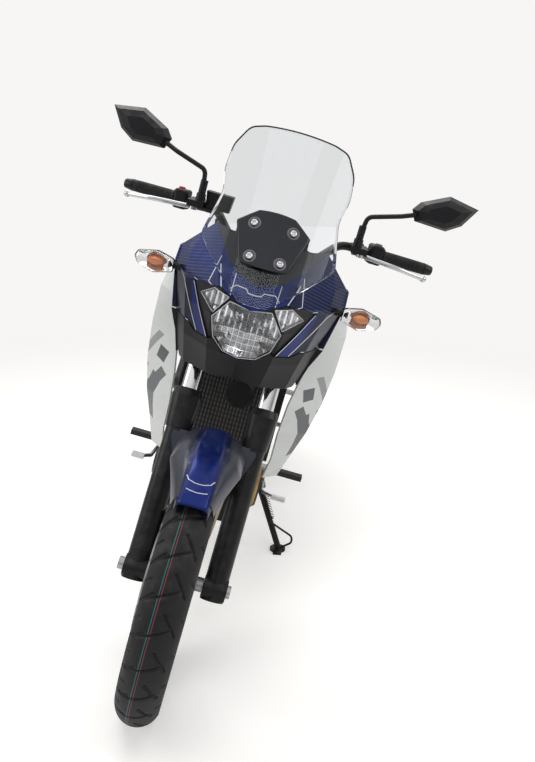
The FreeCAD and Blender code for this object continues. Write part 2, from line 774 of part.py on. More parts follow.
def exhaust():
    """Two header pipes that meet under the engine, the link pipe and the silencer on the right."""
    left = rod([head_port(48, seat_gap), head_port(48, 84), point(50, -326, 440), point(34, -268, 196),
                point(-6, -120, 194), point(-34, 30, 196)], 18, 42)
    right = rod([head_port(-48, seat_gap), head_port(-48, 84), point(-50, -326, 440), point(-52, -268, 196),
                 point(-50, -120, 194), point(-44, 30, 196)], 18, 42)
    link = rod([point(-42, -20, 196), point(-62, 160, 198), point(-150, 320, 284), point(-180, 430, 372)], 23, 60)
    add("exhaust_pipes", fused([left, right, link]))
    start = point(-182, 436, 377)
    run = point(-205, 860, 560) - start
    body = disc(start + run * 0.1, run, 56, run.Length * 0.84)
    neck = Part.makeCone(25, 56, run.Length * 0.1, start, run)
    tail = Part.makeCone(56, 34, run.Length * 0.06, start + run * 0.94, run)
    add("silencer", fused([body, neck, tail]))


def swingarm():
    """Twin tapered arms with the cross beam and the pivot tube."""
    inside = swingarm_inside
    outside = swingarm_inside + swingarm_wall
    rows = []
    for y, z, half_height in ((pivot_y - 22, pivot_z + 4, 24), (430, 348, 32), (700, 322, 30), (790, 318, 24)):
        rows.append([point(inside, y, z - half_height), point(outside, y, z - half_height),
                     point(outside, y, z + half_height), point(inside, y, z + half_height)])
    arm = loft(rows)
    hole = cross_tube(-200, 200, rear_axle.y, rear_axle.z, axle_radius + running_fit)
    beam = cross_tube(-swingarm_inside - 2, swingarm_inside + 2, beam_y, beam_z, beam_radius)
    tube = cross_tube(-plate_inside + seat_gap, plate_inside - seat_gap, pivot_y, pivot_z, 22)
    body = fused(both_sides(arm) + [beam])
    slot = block(plate_inside - seat_gap, plate_outside + seat_gap, 100, 205 + seat_gap, 240, 490)
    body = body.cut([slot, mirrored(slot)]).fuse(tube)
    body = body.cut([hole, cross_tube(-300, 300, pivot_y, pivot_z, 10 + running_fit)])
    add("swingarm", body)


def chain():
    """The chain as one closed band round both sprockets."""
    rear_radius = pitch_radius(rear_sprocket_teeth)
    front_radius = pitch_radius(front_sprocket_teeth)
    half = chain_height / 2
    x0 = chain_line - chain_width / 2
    rings = []
    for grow in (half, -half):
        front_centre = point(x0, front_sprocket_y, front_sprocket_z)
        rear_centre = point(x0, rear_axle.y, rear_axle.z)
        rings.append(belt_wire(front_centre, front_radius + grow, rear_centre, rear_radius + grow))
    band = Part.Face(rings[0]).cut(Part.Face(rings[1])).extrude(point(chain_width, 0, 0))
    add("drive_chain", band)
    hub_plate = cross_tube(chain_line - 4, chain_line + 4, front_sprocket_y, front_sprocket_z, front_radius - half - 1)
    shaft = cross_tube(pocket_floor + seat_gap, chain_line + 10, front_sprocket_y, front_sprocket_z, 14)
    add("front_sprocket", fused([hub_plate, shaft]))


def belt_wire(first, first_radius, second, second_radius):
    """The outer tangent loop round two circles in a plane square to X."""
    run = second - first
    base = math.atan2(run.z, run.y)
    spread = math.acos((first_radius - second_radius) / run.Length)

    def at(centre, radius, angle):
        return centre + point(0, radius * math.cos(angle), radius * math.sin(angle))

    top = base + spread
    bottom = base - spread
    edges = [Part.LineSegment(at(first, first_radius, top), at(second, second_radius, top)).toShape()]
    edges.append(Part.Arc(at(second, second_radius, top), at(second, second_radius, base),
                          at(second, second_radius, bottom)).toShape())
    edges.append(Part.LineSegment(at(second, second_radius, bottom), at(first, first_radius, bottom)).toShape())
    edges.append(Part.Arc(at(first, first_radius, bottom), at(first, first_radius, base + math.pi),
                          at(first, first_radius, top)).toShape())
    return Part.Wire(edges)


def rear_shock():
    """Damper and coil spring, drawn as one turned body with a ridge for each coil."""
    top = point(0, 214, 700)
    bottom = point(0, beam_y, beam_z + beam_radius + seat_gap)
    run = bottom - top
    profile = [point(0, 0, 0), point(24, 0, 0), point(24, 0, 34)]
    coils = 8
    step = 22.0
    for number in range(coils):
        z = 36 + number * step
        profile += [point(27, 0, z), point(35, 0, z + step * 0.35), point(35, 0, z + step * 0.6)]
    profile += [point(27, 0, 36 + coils * step), point(24, 0, 40 + coils * step), point(14, 0, 46 + coils * step),
                point(14, 0, run.Length), point(0, 0, run.Length)]
    body = outline_face(profile).revolve(ORIGIN, Z_AXIS, 360)
    body.Placement = FreeCAD.Placement(top, FreeCAD.Rotation(Z_AXIS, run))
    lug = cross_tube(-30, 30, top.y, top.z, 12)
    add("rear_shock", fused([body, lug]))


def rear_axle_bolt():
    face = swingarm_inside + swingarm_wall + seat_gap
    shaft = cross_tube(-face - 16, face + 16, 0, 0, axle_radius)
    nuts = [cross_tube(-face - 14, -face, 0, 0, axle_nut_radius), cross_tube(face, face + 14, 0, 0, axle_nut_radius)]
    right_spacer = cross_tube(-swingarm_inside + seat_gap, -rear_disc_reach - disc_thickness, 0, 0, spacer_radius)
    left_spacer = cross_tube(chain_line + sprocket_thickness, swingarm_inside - seat_gap, 0, 0, spacer_radius)
    bolt = fused([shaft] + nuts + [right_spacer, left_spacer])
    bolt.translate(rear_axle)
    add("rear_axle", bolt)


def rear_caliper():
    """The caliper on its plate, which hangs on the axle's right spacer beside the swingarm."""
    body = block(-93, -60, 590, 650, 372, 428)
    body = body.makeFillet(8, body.Edges)
    plate = side_plate([(702, 298), (748, 302), (748, 340), (660, 418), (598, 418), (598, 386)],
                       -swingarm_inside + seat_gap, -90)
    hole = cross_tube(-100, -80, rear_axle.y, rear_axle.z, spacer_radius + running_fit)
    body = fused([body, plate.cut(hole)])
    slot = cross_tube(-rear_disc_reach - disc_thickness / 2 - 2, -rear_disc_reach + disc_thickness / 2 + 2,
                      rear_axle.y, rear_axle.z, rear_disc_radius + 6)
    add("rear_caliper", body.cut(slot))


def foot_controls():
    """Rider's and passenger's pegs on their brackets, the gear pedal and the brake pedal."""
    pegs = []
    for side in (-1, 1):
        bracket = side_plate([(22, 306), (24, 364), (92, 432), (150, 432), (150, 396), (104, 352), (62, 306)],
                             plate_outside + seat_gap, 132)
        peg = block(131, 286, 26, 54, 336, 352)
        rider = fused([bracket, peg])
        pegs.append(rider if side > 0 else mirrored(rider))
    gear = fused([rod([point(166, 34, 318), point(168, -80, 316), point(206, -98, 316)], 5, 12),
                  cross_tube(200, 244, -98, 316, 9), cross_tube(132 + seat_gap, 171, 34, 318, 9)])
    brake = fused([rod([point(-150, 46, 318), point(-190, 28, 320), point(-196, -60, 322), point(-222, -92, 326)], 6, 16),
                   block(-250, -212, -106, -80, 321, 331), cross_tube(-156, -132 - seat_gap, 46, 318, 10)])
    seat_point = strut_point(330)
    hanger = fused([side_plate([(296, 660), (318, 738), (350, 738), (480, 560), (520, 470), (490, 465)], 114, 122),
                    block(121, 215, 486, 510, 470, 484), cross_tube(seat_point.x, 115, 330, seat_point.z, 8)])
    hanger = hanger.cut(rod(strut_line(), strut_radius + seat_gap))
    add("foot_pegs", *pegs, *both_sides(hanger))
    add("pedals", gear, brake)


# Tank, seat and tail


tank_rows = (
    # y, bottom z, lower half width, middle z, middle half width, shoulder z, shoulder half width, top z
    (-300, 868, 96, 905, 130, 960, 96, 975),
    (-200, 862, 130, 915, 176, 985, 112, 1003),
    (-60, 800, 138, 900, 172, 972, 106, 994),
    (40, 800, 120, 860, 132, 920, 84, 938),
    (96, 800, 96, 832, 104, 866, 70, 880),
)


def tank():
    sections = []
    for y, z0, w0, z1, w1, z2, w2, z3 in tank_rows:
        half = [(w0, z0), (w1, z1), (w2, z2), (w2 * 0.6, z3)]
        sections.append([point(x, y, z) for x, z in half] + [point(-x, y, z) for x, z in reversed(half)])
    body = loft(sections)
    rails = rod([point(118, -60, 770), point(84, -310, 842)], main_rail_radius + seat_gap)
    body = body.cut(both_sides(rails))
    pad = disc(point(0, cap_y, 960), Z_AXIS, cap_radius + 12, cap_seat_z - 960)
    add("fuel_tank", fused([body, pad]))


def tank_cap():
    """Filler lid with its hinge at the front edge."""
    lid = disc(point(0, cap_y, cap_seat_z + seat_gap), Z_AXIS, cap_radius, cap_thickness)
    hinge_z = cap_seat_z + 10
    ear = block(-10, 10, cap_y - cap_hinge_ahead, cap_y - cap_radius + 8, cap_seat_z + seat_gap + 3,
                cap_seat_z + seat_gap + cap_thickness)
    lid = fused([lid, ear, cross_tube(-10, 10, cap_y - cap_hinge_ahead, hinge_z, 5)])
    add("filler_cap", lid)
    return point(0, cap_y - cap_hinge_ahead, hinge_z)


seat_rows = (
    # y, lower half width, top z, top half width
    (104, 88, 846, 78),
    (190, 122, 838, 112),
    (330, 140, 846, 128),
    (420, 136, 880, 112),
    (470, 128, 900, 112),
    (700, 112, 925, 98),
    (770, 92, 922, 78),
)


def seat():
    sections = []
    for y, w0, z1, w1 in seat_rows:
        z0 = seat_base(y)
        sections.append([point(-w0, y, z0), point(w0, y, z0), point(w1, y, z1), point(-w1, y, z1)])
    add("seat", loft(sections))


def tail():
    """Side covers under the seat, the tail cowl, the lamp and the rear fender."""
    cover = []
    for y, z0, z1, x in ((110, 620, 806, 136), (300, 700, 796, 142), (520, 760, 812, 134), (740, 830, 880, 112)):
        cover.append([point(x, y, z0), point(x + 6, y, z0), point(x + 8, y, z1), point(x, y, z1)])
    held = strut_point(380)
    post = cross_tube(held.x, 141, held.y, held.z, 6).cut(rod(strut_line(), strut_radius + seat_gap))
    add("side_covers", *both_sides(fused([loft(cover), post])))
    cowl = []
    for y, z0, z1, w in ((775, 842, 900, 104), (860, 850, 905, 84), (915, 868, 905, 62)):
        cowl.append([point(-w, y, z0), point(w, y, z0), point(w * 0.8, y, z1), point(-w * 0.8, y, z1)])
    add("tail_cowl", loft(cowl))
    lamp = block(-48, 48, 915 + seat_gap, 945, 872, 900)
    add("tail_lamp", lamp.makeFillet(6, lamp.Edges))
    flap = side_plate([(700, 834), (775, 842 - seat_gap), (860, 850 - seat_gap), (884, 842), (960, 760), (1108, 560),
                       (1096, 552), (950, 740), (860, 815), (700, 812)], -rear_fender_half, rear_fender_half)
    add("rear_fender", flap)


def rear_carrier():
    """Grab rails on both sides, held under the seat, joined by a flat rack plate with slots."""
    rail = rod([point(140, 560, 862), point(164, 645, 905), point(158, 790, 930), point(118, 886, 946),
                point(60, 913, 948), point(0, 913, 948)], 10, 24)
    rail_hook = fused([block(134, 146, 548, 572, 830, 864), block(100, 146, 548, 572, 830, 842)])
    plate = block(-rack_half_width, rack_half_width, rack_front, rack_rear, rack_top - rack_thickness, rack_top)
    slots = [block(x - 9, x + 9, 804, 876, 900, 990) for x in (-60, -20, 20, 60)]
    feet = both_sides(block(28, 48, 800, 860, 905 + seat_gap, rack_top - rack_thickness + 1))
    holes = [disc(where - point(0, 0, rack_thickness + 1), Z_AXIS, rack_hole_radius, rack_thickness + 2)
             for where in rack_holes()]
    plate = plate.cut(slots)
    body = fused(both_sides(rail) + both_sides(rail_hook) + feet + [plate])
    add("rear_carrier", body.cut(holes))


def rack_holes():
    """Tops of the rack's bolt holes, left and right, front and rear."""
    rows = (rack_front + rack_hole_inset, rack_rear - rack_hole_inset - 8)
    return [point(side * rack_hole_x, y, rack_top) for y in rows for side in (1, -1)]


# Nose


nose_rows = (
    # z, front y, middle half width, middle y, outer half width, outer y
    (785, -628, 62, -606, 144, -500),
    (870, -672, 74, -648, 166, -490),
    (950, -704, 84, -668, 190, -462),
    (1008, -716, 82, -672, 206, -446),
    (1052, -664, 96, -610, 207, -424),
    (1108, -616, 100, -566, 176, -404),
)
nose_wall = 5.0


def nose_solid(shrink, back):
    """The mask's outer form, or with a shrink its inside, closed by a back plane."""
    sections = []
    for z, y0, x1, y1, x2, y2 in nose_rows:
        half = [(0, y0 + shrink * 1.3), (x1 - shrink * 0.6, y1 + shrink), (x2 - shrink, y2 + shrink * 0.4), (x2 - shrink, back)]
        ring = [point(x, y, z) for x, y in half] + [point(-x, y, z) for x, y in reversed(half[1:])]
        sections.append(ring)
    return loft(sections)


def nose_side(gap):
    """The space inside the mask's widest left cheek, grown outwards by a gap."""
    z, y0, x1, y1, x2, y2 = nose_rows[3]
    out = point(y2 - y1, x1 - x2, 0).normalize() * gap
    face = outline_face([point(x1, y1, z - 60) + out, point(x2, y2, z - 60) + out, point(0, y2, z - 60), point(0, y1, z - 60)])
    return face.extrude(point(0, 0, 120))


def nose_shell():
    outer = nose_solid(0, -380)
    inner = nose_solid(nose_wall, -300)
    shell = outer.cut(inner)
    return shell.cut([block(-300, 300, -404, -300, 700, 1200), block(-300, 300, -432, -300, 700, 990)])


headlight_half = [(0, 990), (46, 999), (80, 956), (78, 926), (58, 888), (22, 872), (0, 870)]
lamp_outline = [(50, 999), (84, 1003), (114, 984), (84, 960)]
chin_top = 912.0
chin_half = [(0, 870), (22, 872), (58, 888), (78, chin_top), (178, chin_top), (145, 800), (60, 845), (0, 850)]
insert_half = [(0, 1112), (54, 1112), (56, 1050), (44, 1014), (0, 1012)]


def nose():
    """One thin mask split where its panels meet: blue mask, headlight, chin and centre insert.

    The chin and the insert are the black trim."""
    shell = nose_shell()
    outer = nose_solid(0, -380)
    front, back = -800, -390
    headlight = mirror_outline(headlight_half)
    chin = mirror_outline(chin_half)
    insert = mirror_outline(insert_half)
    cutters = [front_prism(headlight, front, back, panel_gap), front_prism(insert, front, back, panel_gap)]
    lamps = []
    for side in (-1, 1):
        outline = [(side * x, z) for x, z in lamp_outline]
        cutters.append(front_prism(outline, front, back, panel_gap))
        lamps.append(front_prism(outline, front, -640))
    below = block(-300, 300, front, back, 700, chin_top + panel_gap)
    mask = shell.cut(cutters + [below])
    add("nose_fairing", mask)
    chin_panel = shell.common(front_prism(chin, front, back)).cut(front_prism(headlight, front, back, panel_gap))
    lens = outer.common(front_prism(headlight, front, -640))
    add("headlight", lens, *[outer.common(lamp) for lamp in lamps])
    panel = shell.common(front_prism(insert, front, back))
    add("nose_trim", fused([panel] + screen_posts(screen_bolts[1], -42)), chin_panel)


screen_rows = (
    # z, y of the middle of the outer face, radius of the horizontal section
    (990, -734, 170),
    (1110, -646, 186),
    (1240, -560, 200),
    (1390, -472, 250),
)
screen_thickness = 4.0
screen_half = [(0, 1370), (85, 1366), (118, 1354), (146, 1306), (150, 1250), (137, 1203), (146, 1160), (160, 1098),
               (36, 1004), (0, 1002)]
cover_half = [(0, 1192), (42, 1188), (85, 1156), (57, 1084), (0, 1078)]
bracket_half = [(0, 1180), (40, 1176), (60, 1150), (54, 1124), (0, 1124)]
screen_bolts = ((44, 1160), (34, 1094))


def screen_layer(outline, front, back):
    """A slice of the screen's curved form, between two distances ahead of its outer face."""
    sections = []
    for z, y, radius in screen_rows:
        centre = point(0, y + radius, z)
        angle = math.radians(72)
        wires = []
        for grow in (front, back):
            r = radius + grow
            ends = [centre + point(side * r * math.sin(angle), -r * math.cos(angle), 0) for side in (-1, 1)]
            wires.append((ends[0], centre + point(0, -r, 0), ends[1]))
        edges = [Part.Arc(*wires[0]).toShape(), Part.LineSegment(wires[0][2], wires[1][2]).toShape(),
                 Part.Arc(wires[1][2], wires[1][1], wires[1][0]).toShape(),
                 Part.LineSegment(wires[1][0], wires[0][0]).toShape()]
        sections.append(Part.Wire(edges))
    layer = Part.makeLoft(sections, True, True)
    return layer.common(front_prism(outline, -900, -300))


def windscreen():
    """The screen with the cover over its bolts; returns the bracket that holds it from behind."""
    add("windscreen", screen_layer(mirror_outline(screen_half), 0, -screen_thickness))
    add("screen_cover", screen_layer(mirror_outline(cover_half), 6, seat_gap))
    bracket = screen_layer(mirror_outline(bracket_half), -20, -25)
    return fused([bracket] + screen_posts(screen_bolts[0], -24))


def screen_posts(bolt, depth):
    """A pair of round posts from the back of the screen to a depth behind its outer face."""
    everything = [(-200, 1000), (200, 1000), (200, 1300), (-200, 1300)]
    layer = screen_layer(everything, -screen_thickness - seat_gap, depth)
    x, z = bolt
    return [layer.common(disc(point(side * x, -800, z), Y_AXIS, 8, 400)) for side in (-1, 1)]


def dash():
    """Instrument housing behind the screen with the bracket that holds the screen."""
    bracket = windscreen()
    housing = loft([[point(-88, -540, 1064), point(88, -540, 1064), point(88, -490, 1064), point(-88, -490, 1064)],
                    [point(-84, -530, 1140), point(84, -530, 1140), point(84, -456, 1140), point(-84, -456, 1140)]])
    arm = side_plate([(-608, 1122), (-604, 1140), (-520, 1124), (-520, 1100), (-560, 1118)], -40, 40)
    leg = block(-14, 14, -532, -514, stay_z + 12 + seat_gap, 1066)
    add("dash_panel", fused([bracket, housing, arm, leg]))


# Side shrouds and signals


shroud_rows = (
    # z, front y, front x, middle y, middle x, rear y, rear x
    (432, -250, 150, -205, 190, -160, 192),
    (520, -312, 156, -245, 208, -120, 212),
    (620, -385, 150, -310, 226, -80, 225),
    (720, -432, 152, -340, 241, -40, 226),
    (820, -424, 168, -360, 247, -10, 216),
    (920, -420, 196, -370, 246, 10, 196),
    (985, -410, 206, -350, 234, -20, 184),
)
shroud_wall = 5.0


def shrouds():
    sections = []
    for z, y0, x0, y1, x1, y2, x2 in shroud_rows:
        sections.append([point(x0, y0, z), point(x1, y1, z), point(x2, y2, z), point(x2 - shroud_wall, y2, z),
                         point(x1 - shroud_wall, y1 + 2, z), point(x0 - shroud_wall * 0.7, y0 + shroud_wall, z)])
    low_boss = cross_tube(radiator_half_width + 22 + seat_gap, 177, -362, 640, 6)
    tank_side = tank_rows[1]
    high_boss = cross_tube(tank_side[4] + seat_gap, 221, tank_side[0], tank_side[3], 8)
    add("side_shrouds", *both_sides(fused([loft(sections), low_boss, high_boss])))


def signals():
    """Leaf-shaped signal lamps on short rubber stalks, front pair and rear pair."""
    leaf = [(0, -16), (0, 16), (46, 27), (92, 16), (98, 0), (88, -16), (46, -29)]
    lamps = []
    cheek = nose_side(seat_gap)
    for x, y, z, inner in ((206, -500, 1000, 160), (112, 872, 828, rear_fender_half + seat_gap)):
        body = []
        for depth, share in ((0, 0.8), (12, 1.0), (34, 0.9), (48, 0.4)):
            row = []
            for across, up in leaf:
                row.append(point(x + 44 + (across - 44) * share, y + depth - 24, z + up * share))
            body.append(row)
        stalk = cross_tube(inner, x + 14, y, z, 9).cut(cheek)
        shape = fused([loft(body), stalk])
        lamps.extend(both_sides(shape))
    add("turn_signals", *lamps)


# Side stand


def stand_frame():
    """Pivot, foot centre and hinge axis of the side stand, with the axis square to the leg."""
    pivot = point(stand_pivot_x, stand_pivot_y, stand_pivot_z)
    foot = point(stand_foot_x, stand_foot_y, stand_ground_z + stand_foot_thickness)
    leg = foot - pivot
    axis = point(-leg.z, 0, leg.x).normalize()
    return pivot, foot, axis


def side_stand():
    pivot, foot, axis = stand_frame()
    leg = foot - pivot
    eye = disc(pivot - axis * stand_eye_half, axis, 17, 2 * stand_eye_half)
    bore = disc(pivot - axis * 20, axis, stand_pin_radius + running_fit, 40)
    shank = rod([pivot + leg * 0.05, foot], stand_leg_radius)
    sole = disc(point(0, 0, 0), Z_AXIS, stand_foot_radius, stand_foot_thickness)
    toe = block(-14, 14, -38, 10, 0, stand_foot_thickness)
    sole = fused([sole, toe])
    sole.Placement = upright_to_floor.inverse().multiply(FreeCAD.Placement(upright_to_floor.multVec(
        point(foot.x, foot.y, stand_ground_z)), FreeCAD.Rotation()))
    add("side_stand", fused([eye, shank, sole]).cut(bore))


def stand_bracket():
    """Ears welded to the frame with the pivot pin of the stand."""
    pivot, foot, axis = stand_frame()
    reach = stand_eye_half + 8
    pin = disc(pivot - axis * reach, axis, stand_pin_radius, 2 * reach)
    ears = []
    for offset in (-reach, stand_eye_half + seat_gap):
        ears.append(disc(pivot + axis * offset, axis, 19, 8 - seat_gap))
    arm = block(plate_outside - 2, 140, 78, 126, 268, 300)
    return [pin, arm] + ears


# Parking stance: lean about Y, then pitch and lift until both tyre crowns touch the floor


def crown_radius(width, depth):
    return ((width / 2) ** 2 + depth ** 2) / (2 * depth)


def leaned_height(axle, radius, crown):
    """How far a tyre's lowest point would lie under the floor if the bike only rotated about Y."""
    lean_angle = math.radians(lean)
    centre_height = axle.z * math.cos(lean_angle)
    return centre_height - ((radius - crown) * math.cos(lean_angle) + crown)


front_error = leaned_height(front_axle, front_tyre_radius, crown_radius(front_tyre_width, front_crown_depth))
rear_error = leaned_height(rear_axle, rear_tyre_radius, crown_radius(rear_tyre_width, rear_crown_depth))
pitch = math.degrees(math.atan2(front_error - rear_error, wheelbase))
lean_turn = FreeCAD.Rotation(Y_AXIS, lean)
pitch_turn = FreeCAD.Rotation(X_AXIS, pitch)
lift = -(front_error + rear_error) / 2
upright_to_floor = FreeCAD.Placement(point(0, 0, lift), pitch_turn.multiply(lean_turn))
floor_normal = upright_to_floor.Rotation.inverted().multVec(Z_AXIS)
floor_point = upright_to_floor.inverse().multVec(ORIGIN)


def floor_under(x, y):
    """Height in the upright drawing of the floor under a point."""
    return floor_point.z - ((x - floor_point.x) * floor_normal.x + (y - floor_point.y) * floor_normal.y) / floor_normal.z


stand_ground_z = floor_under(stand_foot_x, stand_foot_y)


def build():
    front_wheel()
    rear_wheel()
    fork()
    yokes()
    front_axle_bolt()
    front_caliper()
    front_fender()
    fender_braces()
    handlebar()
    grips()
    switch_housings()
    controls()
    mirrors()
    frame()
    engine()
    engine_covers()
    radiator()
    horn()
    exhaust()
    swingarm()
    chain()
    rear_shock()
    rear_axle_bolt()
    rear_caliper()
    foot_controls()
    tank()
    cap_hinge = tank_cap()
    seat()
    tail()
    rear_carrier()
    nose()
    dash()
    shrouds()
    signals()
    side_stand()
    return cap_hinge


def export(cap_hinge):
    """Leans the bike, sets the origin under the middle of its box and writes one file a node."""
    os.makedirs("parts", exist_ok=True)
    leaned = {}
    box = None
    for name, shape in nodes.items():
        moved = shape.copy()
        moved.Placement = upright_to_floor.multiply(moved.Placement)
        leaned[name] = moved
        reach = moved.optimalBoundingBox(False, False)
        if box is None:
            box = reach
        else:
            box.add(reach)
    shift = point(-(box.XMin + box.XMax) / 2, -(box.YMin + box.YMax) / 2, -box.ZMin)
    to_row = FreeCAD.Placement(shift, FreeCAD.Rotation())
    for name, shape in leaned.items():
        shape.Placement = to_row.multiply(shape.Placement)
        shape.exportStep("parts/" + name + ".step")
    place = to_row.multiply(upright_to_floor)
    pivot, foot, stand_axis = stand_frame()
    steering_top = in_fork(0, fork_offset, upper_yoke_bottom)
    joints = (
        ("steering", steering_top, in_fork(0, fork_offset, 1) - in_fork(0, fork_offset, 0)),
        ("front_wheel", front_axle, X_AXIS),
        ("rear_wheel", rear_axle, X_AXIS),
        ("side_stand", pivot, stand_axis),
        ("filler_cap", cap_hinge, X_AXIS),
    )
    for name, where, axis in joints:
        spot = place.multVec(where)
        way = place.Rotation.multVec(axis)
        print("joint", name, "%.4f %.4f %.4f" % tuple(spot), "%.7f %.7f %.7f" % tuple(way))
    for number, where in enumerate(rack_holes(), 1):
        spot = place.multVec(where - point(0, 0, rack_thickness / 2))
        way = place.Rotation.multVec(Z_AXIS)
        sizes = (rack_hole_radius, rack_thickness)
        print("mount rack_hole_%d" % number, "%.4f %.4f %.4f" % tuple(spot), "%.7f %.7f %.7f" % tuple(way), "%.2f %.2f" % sizes)
    print("shift %.3f %.3f %.3f pitch %.4f" % (shift.x, shift.y, shift.z, pitch))
    print("box %.1f %.1f %.1f" % (box.XLength, box.YLength, box.ZLength))
    for name, shape in sorted(leaned.items()):
        print("node %-24s solids %d valid %s volume %.0f" % (name, len(shape.Solids), shape.isValid(), shape.Volume))


export(build())
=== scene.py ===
import json
import math

import bmesh
import bpy
import numpy as np
from mathutils import Matrix, Vector
from mathutils.geometry import delaunay_2d_cdt


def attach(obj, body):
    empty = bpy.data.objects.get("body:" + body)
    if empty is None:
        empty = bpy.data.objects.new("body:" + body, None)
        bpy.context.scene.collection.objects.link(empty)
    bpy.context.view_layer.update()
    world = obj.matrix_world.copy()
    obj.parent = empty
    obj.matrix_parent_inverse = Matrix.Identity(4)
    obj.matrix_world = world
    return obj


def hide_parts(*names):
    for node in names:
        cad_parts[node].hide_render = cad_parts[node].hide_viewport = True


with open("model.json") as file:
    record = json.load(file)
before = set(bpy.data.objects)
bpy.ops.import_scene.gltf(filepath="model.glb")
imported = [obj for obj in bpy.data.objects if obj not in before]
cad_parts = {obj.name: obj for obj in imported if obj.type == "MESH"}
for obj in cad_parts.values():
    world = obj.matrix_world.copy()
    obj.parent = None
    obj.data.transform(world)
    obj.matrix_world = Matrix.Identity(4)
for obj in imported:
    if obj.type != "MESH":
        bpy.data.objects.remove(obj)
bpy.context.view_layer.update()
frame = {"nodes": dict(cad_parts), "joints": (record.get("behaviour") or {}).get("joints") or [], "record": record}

# Looks of an adventure motorcycle that leans on its side stand. Everything is in metres in the
# model's own frame: +X to the rider's left, +Y to the rear, +Z up from the floor.
# Sizes on the motorcycle are written in millimetres in its upright frame, with X to the rider's
# left from its middle plane and Y behind the middle of its wheelbase, and are placed by bike().

nodes = frame["nodes"]
hinges = {joint["name"]: joint for joint in frame["joints"]}

# Upright frame of the motorcycle, found from the wheel axis and the steering axis

WHEELBASE = 1450.0
RAKE = math.radians(24.3)
TRAIL = 108.0
FRONT_AXLE = np.array([0.0, -WHEELBASE / 2, 331.0])
REAR_AXLE = np.array([0.0, WHEELBASE / 2, 320.0])
FORK_OFFSET = FRONT_AXLE[2] * math.sin(RAKE) - TRAIL * math.cos(RAKE)


def unit(v):
    v = np.asarray(v, float)
    return v / np.linalg.norm(v)


across = unit(hinges["front_wheel_hinge"]["axis"])
up_fork = unit(hinges["steering_hinge"]["axis"])
square = np.cross(across, up_fork)
rearward = math.sin(RAKE) * up_fork - math.cos(RAKE) * square
upward = math.cos(RAKE) * up_fork + math.sin(RAKE) * square
turn = np.column_stack([across, rearward, upward])
fork_turn = np.column_stack([across, -square, up_fork])
offset = np.array(hinges["front_wheel_hinge"]["pos_m"]) - turn @ FRONT_AXLE / 1000


def bike(points):
    """Upright millimetres to model metres: a turn by the parked lean, then a shift."""
    return np.asarray(points, float) / 1000 @ turn.T + offset


def fork(points):
    """Millimetres across, behind and up along the fork legs, from the front axle, to upright millimetres."""
    p = np.asarray(points, float)
    y = p[..., 1] * math.cos(RAKE) + p[..., 2] * math.sin(RAKE)
    z = -p[..., 1] * math.sin(RAKE) + p[..., 2] * math.cos(RAKE)
    return np.stack([p[..., 0], y, z], -1) + FRONT_AXLE


# Handlebar line and chain run, for what is clamped to the bar and what meets the chain

BAR_CENTRE = fork([0.0, FORK_OFFSET + 12.0, 826.0])
BAR_BEND, BAR_END = 170.0, 404.0
BAR_PULL, BAR_DROP = 48.0, 7.0
GRIP_START, GRIP_RADIUS = 285.0, 16.0
CHAIN_PITCH, CHAIN_LINE = 15.875, 81.0
FRONT_SPROCKET, FRONT_TEETH, REAR_TEETH = (85.0, 345.0), 15, 48


def bar_point(x, side=1):
    """A point on the straight outer run of the bar: pull and rise change evenly with x."""
    share = (x - BAR_BEND) / (BAR_END - BAR_BEND)
    return BAR_CENTRE + np.array([side * x, 100.0 + BAR_PULL * share, 67.0 - BAR_DROP * share])


# Grids of points, in upright millimetres, and the pieces made of them

class Grid:
    """Points over two parameters, (rows, columns, 3), which may close round either way."""

    def __init__(self, points, wrap_rows=False, wrap_columns=False):
        self.points = np.asarray(points, float)
        self.wraps = wrap_rows, wrap_columns

    def faces(self):
        rows, columns = self.points.shape[:2]
        r = np.arange(rows if self.wraps[0] else rows - 1)[:, None]
        c = np.arange(columns if self.wraps[1] else columns - 1)[None, :]
        r2, c2 = (r + 1) % rows, (c + 1) % columns
        quads = np.stack([r * columns + c, r2 * columns + c, r2 * columns + c2, r * columns + c2], -1)
        return quads.reshape(-1, 4)


def both(grids):
    """The grids and their mirror images on the other side of the motorcycle."""
    return list(grids) + [Grid(grid.points * [-1, 1, 1], *grid.wraps) for grid in grids]


def ring_grid(rings):
    """Closed rings of points, one after the other."""
    return Grid(np.array(rings), wrap_columns=True)


def skin(loop):
    """A closed wall: each row runs out along its outer face and back along its inner one. The ends are shut."""
    ends = [loop[:1].copy(), loop[-1:].copy()]
    for end in ends:
        half = end.shape[1] // 2
        end[0, half:] = end[0, :half][::-1]
    return ring_grid(np.concatenate([ends[0], loop, ends[1]]))


def piece(name, grids, body, slot, *replaced, **options):
    """One object of all the grids: poles and seams are merged, and its faces point outwards."""
    verts, faces, count = [], [], 0
    for grid in grids:
        verts.append(bike(grid.points.reshape(-1, 3)))
        faces.append(grid.faces() + count)
        count += len(verts[-1])
    return mesh_piece(name, np.concatenate(verts), np.concatenate(faces), body, slot, *replaced, **options)


